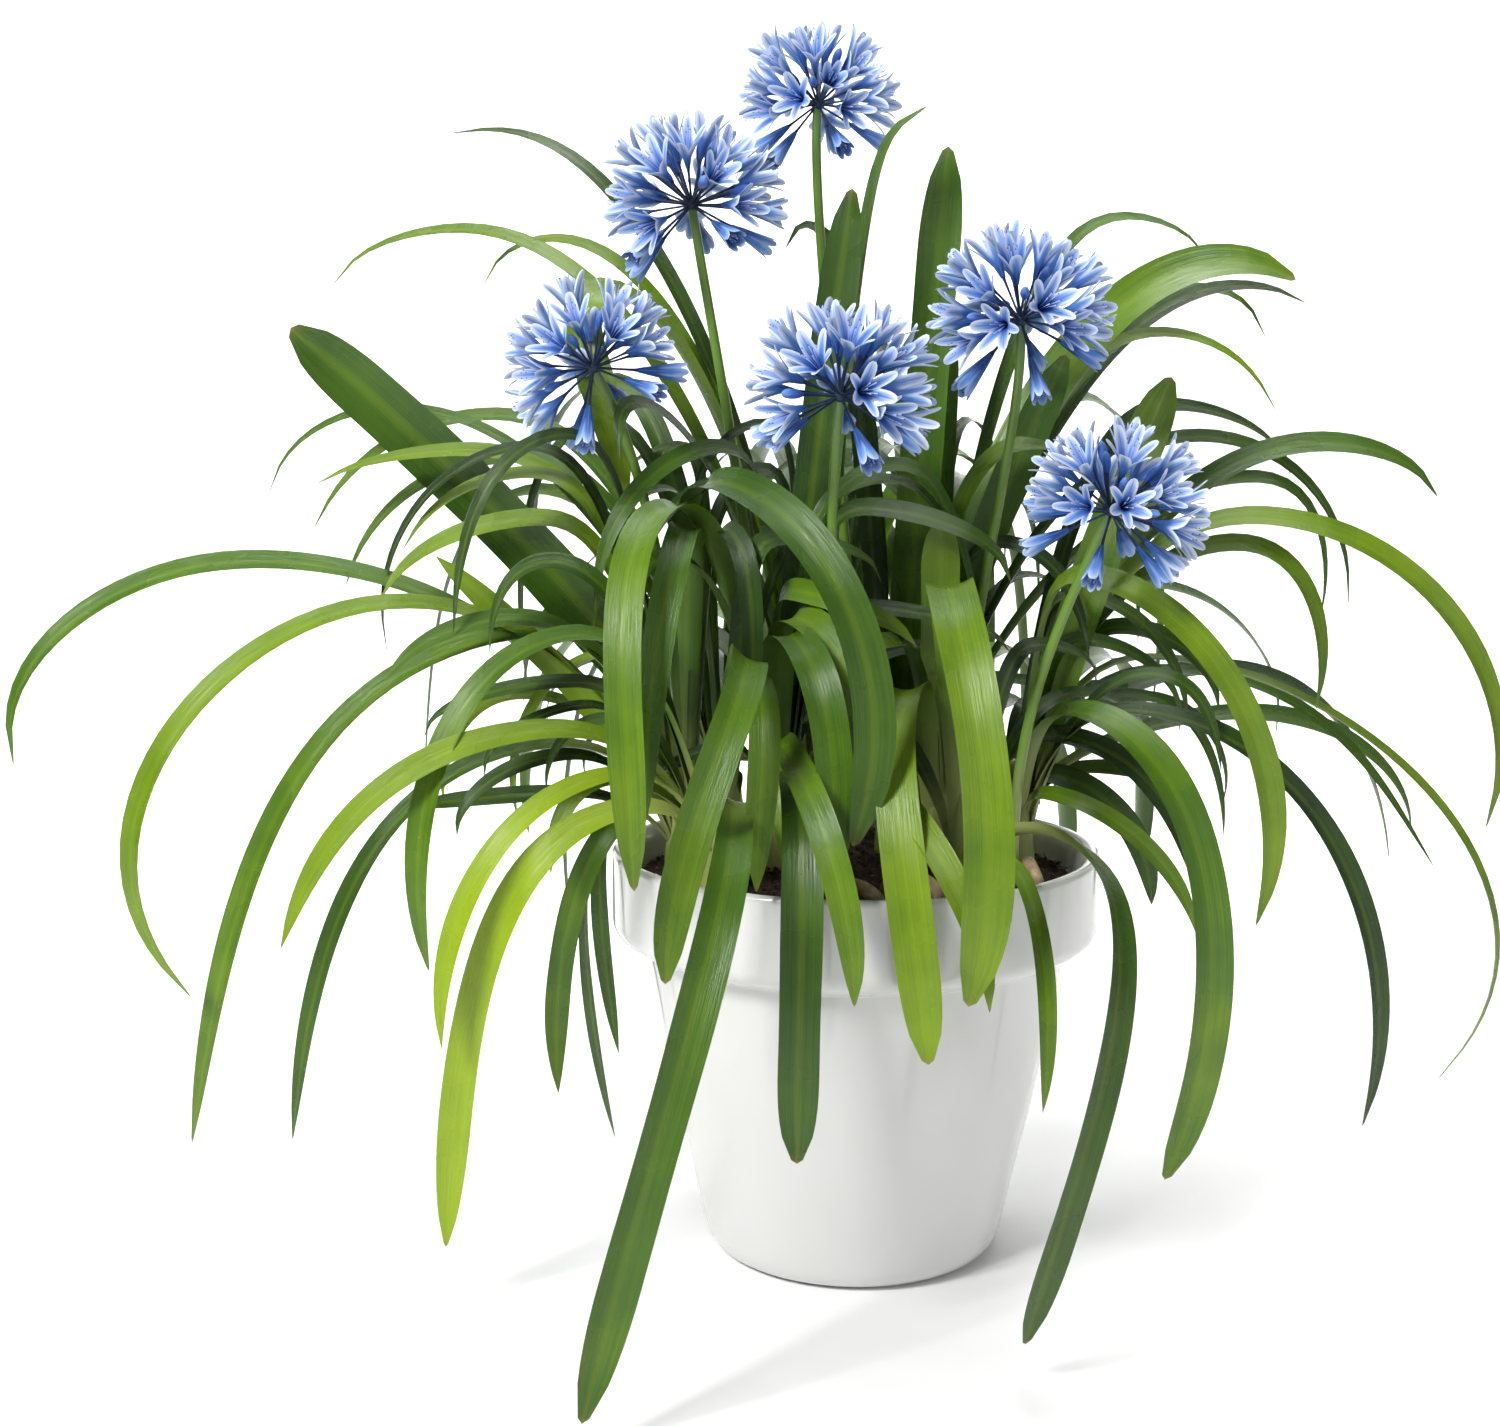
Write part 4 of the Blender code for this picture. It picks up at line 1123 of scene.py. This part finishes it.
def false_stem(body, x, y):
    """The clasping leaf bases, ridged where one wraps the next."""
    def place(angle):
        """A point of the ring in hand, fuller between two folds."""
        ridge = 0.97 + 0.045 * abs(math.sin(2.5 * angle + x))
        return around(angle, radius * ridge, height, x, y) * CM

    rings = []
    for height, radius in FALSE_STEM:
        rings.append(body.ring(STEM_AROUND, place, height * CM, tone=0.45))
    body.join_rings(rings)


def make_crowns():
    """One piece for each fan: its false stem and its leaves."""
    leaves = settled_leaves()
    for number, (crown, (x, y)) in enumerate(CROWNS.items()):
        draw = random.Random(100 + number)
        body = Body("tone", "along", "under")
        false_stem(body, x, y)
        for owner, *shape in leaves:
            if owner == crown:
                # Each leaf's tone: a random part, its own colour, over its fan's base tone, which is
                # partly painted light
                tone = BRIGHT_CROWNS.get(crown, PLAIN_TONE) + draw.uniform(-0.28, 0.36)
                if shape[2].y < HANGING_FRONT:
                    tone = min(tone, HANGING_TONE)
                leaf(body, *shape, tone)
        mesh = body.mesh(f"fan_{crown}", LEAF_GREEN)
        show(f"fan_{crown}", mesh, "leaf", f"crown_{crown}")
    print("fans", len(CROWNS))


make_crowns()

# %% [markdown]
# ### Young leaves
# Between the big leaves of every fan stand many short and narrow ones, which make the middle of
# the plant dark and dense. Placing each by hand would take long and show nothing more, so a rule
# with a fixed seed draws them. One that would cross another fan, a stem, a flower head or an
# earlier young leaf is left out, and so is one that would hang over the pot's front.

# %% Young leaves
YOUNG_DRAWS = 900
YOUNG_SEED = 11
YOUNG_WIDTHS = (8, 17)
YOUNG_FRONT = -9.0 * CM
YOUNG_RISES = (33, 60)
YOUNG_REACHES = (2.5, 10)
YOUNG_FALLS = (0.12, 0.75)
YOUNG_FLOOR = 27
YOUNG_THROWS = (4, 12)
YOUNG_SWINGS = (-0.1, 0.3)
YOUNG_TONES = (-0.10, 0.28)


def strip_tree(line, sides, width):
    """A search tree of a flat strip, to test whether a leaf crosses something."""
    points, faces = [], []
    for point, side in zip(line[3:], sides[3:]):
        points += [tuple(point - side * width * 0.5), tuple(point + side * width * 0.5)]
    for i in range(len(points) // 2 - 1):
        faces.append((2 * i, 2 * i + 1, 2 * i + 3, 2 * i + 2))
    return BVHTree.FromPolygons(points, faces)


def solid_trees():
    """Search trees of the solids that a young leaf keeps clear of."""
    trees = []
    for name, obj in frame["nodes"].items():
        if not name.startswith("root_"):
            points = [tuple(v.co) for v in obj.data.vertices]
            faces = [tuple(p.vertices) for p in obj.data.polygons]
            trees.append((name, BVHTree.FromPolygons(points, faces)))
    return trees


def young_shape(draw, x, y):
    """A short leaf drawn at random: foot, highest point, tip, swing, width and tone."""
    width = draw.uniform(*YOUNG_WIDTHS) * MM
    away = around(draw.uniform(0, math.tau), 1.0, 0.0)
    rise = draw.uniform(*YOUNG_RISES)
    reach = draw.uniform(*YOUNG_REACHES) * (0.6 + rise / 90)
    high = (Vector((x, y, rise)) + away * reach) * CM
    fall = draw.uniform(*YOUNG_FALLS) * (rise - YOUNG_FLOOR)
    end = high + (away * draw.uniform(*YOUNG_THROWS) - UP * fall) * CM
    foot = (Vector((x, y, LEAF_FOOT - 0.5)) + away * 0.9) * CM
    swing = draw.uniform(*YOUNG_SWINGS)
    return foot, high, end, swing, width, draw.uniform(*YOUNG_TONES)


def make_young_leaves():
    """One piece of short leaves between the big ones."""
    draw = random.Random(YOUNG_SEED)
    placed = solid_trees()
    body = Body("tone", "along", "under")
    names = list(CROWNS)
    solids = len(placed)
    for number in range(YOUNG_DRAWS):
        crown = names[number % len(names)]
        foot, high, end, swing, width, tone = young_shape(draw, *CROWNS[crown])
        if end.y < YOUNG_FRONT:
            continue
        line = leaf_line(foot, high, end, swing, 0.0, 20)
        tree = strip_tree(line, side_vectors(line, False)[1], width)
        if any(tree.overlap(other) for name, other in placed if name != f"crown_{crown}"):
            continue
        leaf(body, foot, high, end, swing, 0.0, width, tone)
        placed.append(("young", tree))
    show("young_leaves", body.mesh("young_leaves", LEAF_GREEN), "leaf")
    print("young leaves", len(placed) - solids)


make_young_leaves()

# %% [markdown]
# ## Flower stems
# A flower stem is bare, smooth and slightly flat. It stands in the soil beside a fan, rises straight
# and bends a little under its head. A curve object with a bevel could make it, but a tube can also
# carry the share of its length on its points, and the paint turns from pale to dark by that share.

# %% Stems
STEM_FOOT = 24.63
STEM_UPRIGHT = 5.0 * CM
STEM_BEND = 8 * CM
STEM_PIECES = 36
STEM_FLAT = 0.86
STEM_TAPER = 0.18
STEM_STOPS = ((0.0, (0.42, 0.48, 0.20)), (0.3, (0.15, 0.28, 0.03)), (0.85, (0.12, 0.23, 0.022)),
              (1.0, (0.08, 0.15, 0.04)))
SCAPE_RADIUS = 4.2 * MM
KNOB_RADIUS = 7.5 * MM
HEADS = (
    ((-11.4, 3.0, 73.2), -8, 5, 6.8, (-6.2, 4.6)), ((-17.8, -4.0, 62.0), -28, 10, 6.3, (-12.3, 3.0)),
    ((10.5, -4.0, 65.1), -4, 12, 6.6, (7.6, 3.8)), ((-1.6, -9.0, 60.1), 6, 14, 6.6, (-1.6, -2.6)),
    ((16.1, -8.0, 52.7), 22, 12, 6.4, (10.6, -4.6)), ((-2.7, 5.0, 80.2), 4, 4, 5.9, (0.4, 7.2)))


def head_axis(head):
    """The direction that a flower head faces."""
    right, near = math.radians(head[1]), math.radians(head[2])
    return Vector((math.sin(right), -math.sin(near), math.cos(right) * math.cos(near))).normalized()


def scape_line(head):
    """The route of a flower stem, from its hole to just under the knob."""
    knob, _, _, _, foot = head
    low = Vector((*foot, STEM_FOOT)) * CM
    top = Vector(knob) * CM - head_axis(head) * (KNOB_RADIUS * 0.4)
    upright = low + UP * STEM_UPRIGHT
    bend = (upright, upright + UP * 0.4 * (top.z - upright.z), top - head_axis(head) * STEM_BEND, top)
    return [low] + [bezier(bend, i / STEM_PIECES) for i in range(STEM_PIECES + 1)]


def make_stem_green():
    """Smooth stem: pale at its foot, mid green, and darker just under the head."""
    stem = Paint("stem_green", 0.36, Coat_Weight=0.1, Coat_Roughness=0.3)
    along = stem.mark("along")
    streak = stem.noise(stem.stretched(stem.place(), (300.0, 300.0, 9.0)), 1.0, 2.0)
    stem.color(stem.ramp(along + (streak - 0.5) * 0.12, STEM_STOPS))
    stem.bump(streak, 0.0004, 0.5)
    return stem.material


def make_stems():
    """One piece for each flower stem."""
    green = make_stem_green()
    for number, head in enumerate(HEADS, 1):
        line = scape_line(head)
        last = len(line) - 1
        radii = [SCAPE_RADIUS * (1.0 - STEM_TAPER * i / last) for i in range(last + 1)]
        body = Body("along")
        tube(body, line, radii, 18, flat=STEM_FLAT)
        show(f"flower_stem_{number}", body.mesh(f"flower_stem_{number}", green), "stem",
             f"scape_{number}")
    print("stems", len(HEADS))


make_stems()

# %% [markdown]
# ## Flower heads
# A head is an umbel: thirty or so stalks from one knob, each with a trumpet of six petals. Every
# flower could be modelled in its place, but they differ mostly in how far they are open. So a few
# patterns are modelled once, pointing up, and Geometry Nodes set them on points that carry their
# turn, size and kind.

# %% Petal paint
PETAL_EDGE = (0.78, 0.83, 0.95)
PETAL_PALE = (0.29, 0.43, 0.72)
PETAL_MID = (0.070, 0.190, 0.52)
PETAL_DEEP = (0.010, 0.058, 0.24)
STALK_BLUE = (0.006, 0.016, 0.070)
STALK_GREEN = (0.012, 0.028, 0.055)
BUD_MID = (0.045, 0.13, 0.46)
BUD_TOP = (0.16, 0.29, 0.66)
STAMEN_BLUE = (0.45, 0.55, 0.88)
STAMEN_DARK = (0.03, 0.02, 0.04)
STALK, PETAL, STAMEN, BUD = 0.0, 1.0, 2.0, 3.0


def make_petal_blue():
    """Blue petals with a dark middle stripe, and stalks, stamens and buds by their mark."""
    blue = Paint("petal_blue", 0.5, Specular_IOR_Level=0.35)
    across, along, _ = blue.parts(blue.node("UVMap", {"uv_map": "across_along"}).outputs["UV"])
    organ = blue.mark("organ")
    under = blue.mark("under")
    tone = blue.mark("tone")
    streaks = blue.noise(blue.node("CombineXYZ", inputs={
        "X": across * 22.0, "Y": along * 2.5, "Z": tone * 9.0}).outputs[0], 1.0, 3.0)
    cloud = blue.noise(blue.place(), 60.0, 2.0)
    off = (across - 0.5).size()
    rise = along + (streaks - 0.5) * 0.3 + (cloud - 0.5) * 0.5 - tone * 0.35
    petal = blue.ramp(rise, ((0.10, PETAL_DEEP), (0.40, PETAL_MID), (0.66, PETAL_PALE),
                             (1.0, PETAL_EDGE)))
    edge = off.step(0.18, 0.40) * along.step(0.3, 0.6) * (1.0 - tone)
    petal = blue.blend(edge * 0.85, petal, PETAL_EDGE)
    stripe = (1.0 - off.step(0.02, 0.12)) * (1.0 - along.step(0.8, 1.0))
    petal = blue.blend(stripe * 0.7, petal, PETAL_MID)
    petal = blue.blend(under * 0.25, petal, PETAL_MID)
    stalk = blue.blend(along.step(0.0, 0.5), STALK_GREEN, STALK_BLUE)
    bud = blue.ramp(along + (streaks - 0.5) * 0.2, ((0.0, PETAL_DEEP), (0.6, BUD_MID), (1.0, BUD_TOP)))
    stamen = blue.blend(along.step(0.85, 0.95), STAMEN_BLUE, STAMEN_DARK)
    color = stalk
    for kind, layer in ((PETAL, petal), (STAMEN, stamen), (BUD, bud)):
        color = blue.blend(organ.step(kind - 0.6, kind - 0.4), color, layer)
    blue.color(color)
    blue.rough(0.42 + 0.2 * streaks)
    blue.bump(streaks, 0.0003, 0.5)
    return blue.material


PETAL_BLUE = make_petal_blue()

# %% [markdown]
# ### Flower patterns
# Below, the petals are fused to a tube, and above they are free and spread. A single turned
# trumpet with a cut edge would be lighter, but its petals could not overlap. So each petal is a
# ribbon of its own that follows the trumpet's outline, and three are broader than the others.

# %% Flower patterns
HEAD_UNIT = 66.0 * MM
STALK_REACH = 0.50
TRUMPET = 0.54
MOUTH = 0.25
PETAL_ACROSS = 4
PETAL_STATIONS = (0.0, 0.12, 0.26, 0.40, 0.54, 0.67, 0.79, 0.89, 0.965, 1.0)
PETAL_HALVES = (0.054, 0.070)


def trumpet_radius(s, mouth):
    """The trumpet's radius along its length, from a narrow tube to a flared mouth."""
    flare = max(0.0, (s - 0.25) / 0.75)
    return (0.022 + 0.028 * min(1.0, s / 0.3) + (mouth - 0.05) * flare ** 1.3) * HEAD_UNIT


def petal(body, angle, broad, mouth, tone, curl):
    """One petal: fused to its neighbours low down, free and rounded above."""
    radial = Vector((math.cos(angle), math.sin(angle), 0.0))
    sideways = Vector((-math.sin(angle), math.cos(angle), 0.0))
    line, halves, dips, thick = [], [], [], []
    for s in PETAL_STATIONS:
        radius = trumpet_radius(s, mouth)
        line.append(radial * radius + UP * ((STALK_REACH + TRUMPET * (s - curl * s ** 4)) * HEAD_UNIT))
        round_tip = math.sqrt(max(0.0, 1.0 - max(0.0, (s - 0.68) / 0.33) ** 2.2))
        halves.append(min(radius * 0.68, broad * HEAD_UNIT) * round_tip)
        dips.append(-0.34 * halves[-1] * (1.0 - 0.4 * s))
        thick.append(0.5 * MM)
    ribbon(body, line, [sideways] * len(line), halves, dips, thick, PETAL_ACROSS,
           {"tone": tone, "organ": PETAL}, PETAL_STATIONS)


def stalk(body, reach, tone, bow=0.0):
    """The flower's stalk, a little thicker at both ends."""
    base = 3.0 * MM
    line = [Vector((bow * math.sin(math.pi * i / 6), 0.0, base + (reach * HEAD_UNIT - base) * i / 6))
            for i in range(7)]
    radii = [width * MM for width in (1.1, 0.95, 0.9, 0.9, 0.95, 1.1, 1.6)]
    tube(body, line, radii, 6, {"organ": STALK, "tone": tone})


def stamens(body, tone, spread):
    """Six fine stamens with dark tips."""
    for k in range(6):
        angle = math.tau * (k + 0.5) / 6
        radial = Vector((math.cos(angle), math.sin(angle), 0.0))
        line = [radial * ((1.2 + spread * t ** 1.4) * MM)
                + UP * ((STALK_REACH + 0.10 + 0.74 * TRUMPET * t) * HEAD_UNIT)
                for t in (0.0, 0.5, 0.9, 1.0)]
        tube(body, line, [0.2 * MM, 0.18 * MM, 0.5 * MM, 0.35 * MM], 4,
             {"organ": STAMEN, "tone": tone})


def open_flower(name, mouth, curl, tone):
    """A trumpet on its stalk: three narrow petals outside and three broad ones inside."""
    body = Body("tone", "along", "under", "organ")
    stalk(body, STALK_REACH + 0.02, tone)
    for k in range(6):
        petal(body, math.tau * k / 6, PETAL_HALVES[k % 2], mouth * (1.04 - 0.08 * (k % 2)), tone, curl)
    stamens(body, tone, 12.0 * mouth)
    return plain_object(name, body.mesh(name, PETAL_BLUE))


def closed_flower(name, reach, length, radius, tone):
    """A bud: a spindle on its stalk, with six shallow grooves."""
    body = Body("tone", "along", "under", "organ")
    stalk(body, reach + 0.02, tone, 1.5 * MM)
    rings = []
    for i in range(9):
        s = i / 8
        wide = radius * (0.3 + 0.7 * math.sin(math.pi * min(1.0, s * 0.85 + 0.04)) ** 0.9)
        wide *= 1.0 - 0.7 * max(0.0, (s - 0.85) / 0.15)
        height = (reach + length * s) * HEAD_UNIT
        rings.append(body.ring(
            12, lambda angle: around(angle, wide * (0.95 + 0.05 * math.cos(6 * angle)), height),
            s, tone=tone, along=s, organ=BUD))
    body.join_rings(rings)
    return plain_object(name, body.mesh(name, PETAL_BLUE))


def make_patterns():
    """The patterns, in a collection whose order gives their kind."""
    made = bpy.data.collections.new("flower_patterns")
    bpy.context.scene.collection.children.link(made)
    shapes = [open_flower("a_wide", MOUTH * 1.10, 0.07, 0.0), open_flower("b_open", MOUTH, 0.05, 0.15),
              open_flower("c_young", MOUTH * 0.72, 0.02, 0.35),
              closed_flower("d_bud", 0.48, 0.26, 3.6 * MM, 0.3),
              open_flower("e_spent", MOUTH * 0.46, 0.0, 0.75)]
    for shape in shapes:
        bpy.context.scene.collection.objects.unlink(shape)
        made.objects.link(shape)
    return made


# %% [markdown]
# ### Setting the flowers
# Stalks leave the knob in every direction but straight down. Random directions would clump, so
# the golden angle spreads them evenly over a dome, with a little chance added. A gap is left low at
# the front, where the dark stalks show, and a few spent flowers droop below.

# %% Spray tree


def spray_tree():
    """Set a flower on each point, by the point's kind, turn and size."""
    tree, given, output = new_tree("spray", (
        ("Flowers", "Collection"), ("Size", "Float"), ("Material", "Material")))
    take = given.outputs

    def stored(name, kind):
        return tree_node(tree, "GeometryNodeInputNamedAttribute", {"data_type": kind},
                         {"Name": name}).outputs["Attribute"]

    shapes = tree_node(tree, "GeometryNodeCollectionInfo", None, {
        "Collection": take["Flowers"], "Separate Children": True, "Reset Children": True})
    euler = tree_node(tree, "FunctionNodeEulerToRotation", None,
                      {"Euler": stored("turn", "FLOAT_VECTOR")})
    size = tree_node(tree, "ShaderNodeMath", {"operation": "MULTIPLY"},
                     {0: stored("grow", "FLOAT"), 1: take["Size"]})
    copies = tree_node(tree, "GeometryNodeInstanceOnPoints", None, {
        "Points": take["Geometry"], "Instance": shapes.outputs["Instances"], "Pick Instance": True,
        "Instance Index": stored("kind", "INT"), "Rotation": euler.outputs["Rotation"],
        "Scale": size.outputs[0]})
    finish_tree(tree, copies.outputs["Instances"], take["Material"], output)
    return tree


# %% Set the flowers
OPEN_FLOWERS = 23
DOME_ANGLE = 104.0
WINDOW_ANGLE = 24.0
WINDOW = Vector((0.0, -1.0, -0.3)).normalized()
SMALL_BUDS = 6
SPENT_FLOWERS = 5


def flower_points(head, seed):
    """Turn, size and kind of each flower of a head."""
    draw = random.Random(seed)
    axis = head_axis(head)
    side = axis.orthogonal().normalized()
    other = axis.cross(side)
    rows = []

    def place(polar, bearing, kind, grow):
        aim = (axis * math.cos(polar) + (side * math.cos(bearing) + other * math.sin(bearing))
               * math.sin(polar)).normalized()
        spin = Matrix.Rotation(draw.uniform(0, math.tau), 3, "Z")
        turn = aim.to_track_quat("Z", "Y").to_matrix() @ spin
        if aim.angle(WINDOW) > math.radians(WINDOW_ANGLE):
            rows.append((turn.to_euler(), grow, kind))

    golden = math.pi * (3.0 - math.sqrt(5.0))
    start = draw.uniform(0, math.tau)
    for i in range(OPEN_FLOWERS):
        height = 1.0 - (i + 0.5) / OPEN_FLOWERS * (1.0 - math.cos(math.radians(DOME_ANGLE)))
        polar = math.acos(height) + draw.uniform(-0.07, 0.07)
        bearing = start + i * golden + draw.uniform(-0.1, 0.1)
        place(polar, bearing, draw.choice((0, 0, 1, 1, 2)), draw.uniform(0.86, 1.0))
    for i in range(SMALL_BUDS):
        place(draw.uniform(0.3, 1.5), start + 1.1 * i, 3, draw.uniform(0.75, 1.0))
    for i in range(SPENT_FLOWERS):
        place(math.radians(draw.uniform(112, 140)), start + 1.3 * i, 4, draw.uniform(0.88, 1.0))
    return rows


def head_cloud(centre, rows):
    """Points in the middle of a head, with the turn, size and kind of each flower."""
    cloud = bpy.data.meshes.new("cloud")
    cloud.from_pydata([tuple(centre)] * len(rows), [], [])
    for name, data_type, part, values in (
            ("turn", "FLOAT_VECTOR", "vector", [value for turn, _, _ in rows for value in turn]),
            ("grow", "FLOAT", "value", [grow for _, grow, _ in rows]),
            ("kind", "INT", "value", [kind for _, _, kind in rows])):
        cloud.attributes.new(name, data_type, "POINT").data.foreach_set(part, values)
    return plain_object("cloud", cloud)


def make_heads():
    """One piece for each flower head: a knob with its flowers."""
    patterns = make_patterns()
    tree = spray_tree()
    for number, head in enumerate(HEADS, 1):
        rows = flower_points(head, 60 + number)
        centre = Vector(head[0]) * CM
        points = head_cloud(centre, rows)
        mesh = grown(f"flower_head_{number}", points, tree, {
            "Flowers": patterns, "Size": head[3] * CM / HEAD_UNIT, "Material": PETAL_BLUE})
        bpy.data.objects.remove(points, do_unlink=True)
        add_knob(mesh, centre, head_axis(head))
        show(f"flower_head_{number}", mesh, "flower", f"umbel_{number}")
        print("head", number, "faces", len(mesh.polygons))
    for shape in list(patterns.objects):
        bpy.data.objects.remove(shape, do_unlink=True)
    bpy.data.collections.remove(patterns)


def add_knob(mesh, centre, axis):
    """The swollen end of the stem that the stalks grow from."""
    work = bmesh.new()
    work.from_mesh(mesh)
    organ = work.verts.layers.float.get("organ")
    turn = axis.to_track_quat("Z", "Y").to_matrix().to_4x4()
    made = bmesh.ops.create_icosphere(work, subdivisions=3, radius=KNOB_RADIUS * 0.62,
                                      matrix=Matrix.Translation(centre) @ turn)
    for vertex in made["verts"]:
        vertex[organ] = STALK
    for face in {face for vertex in made["verts"] for face in vertex.link_faces}:
        face.smooth = True
    work.to_mesh(mesh)
    work.free()


make_heads()
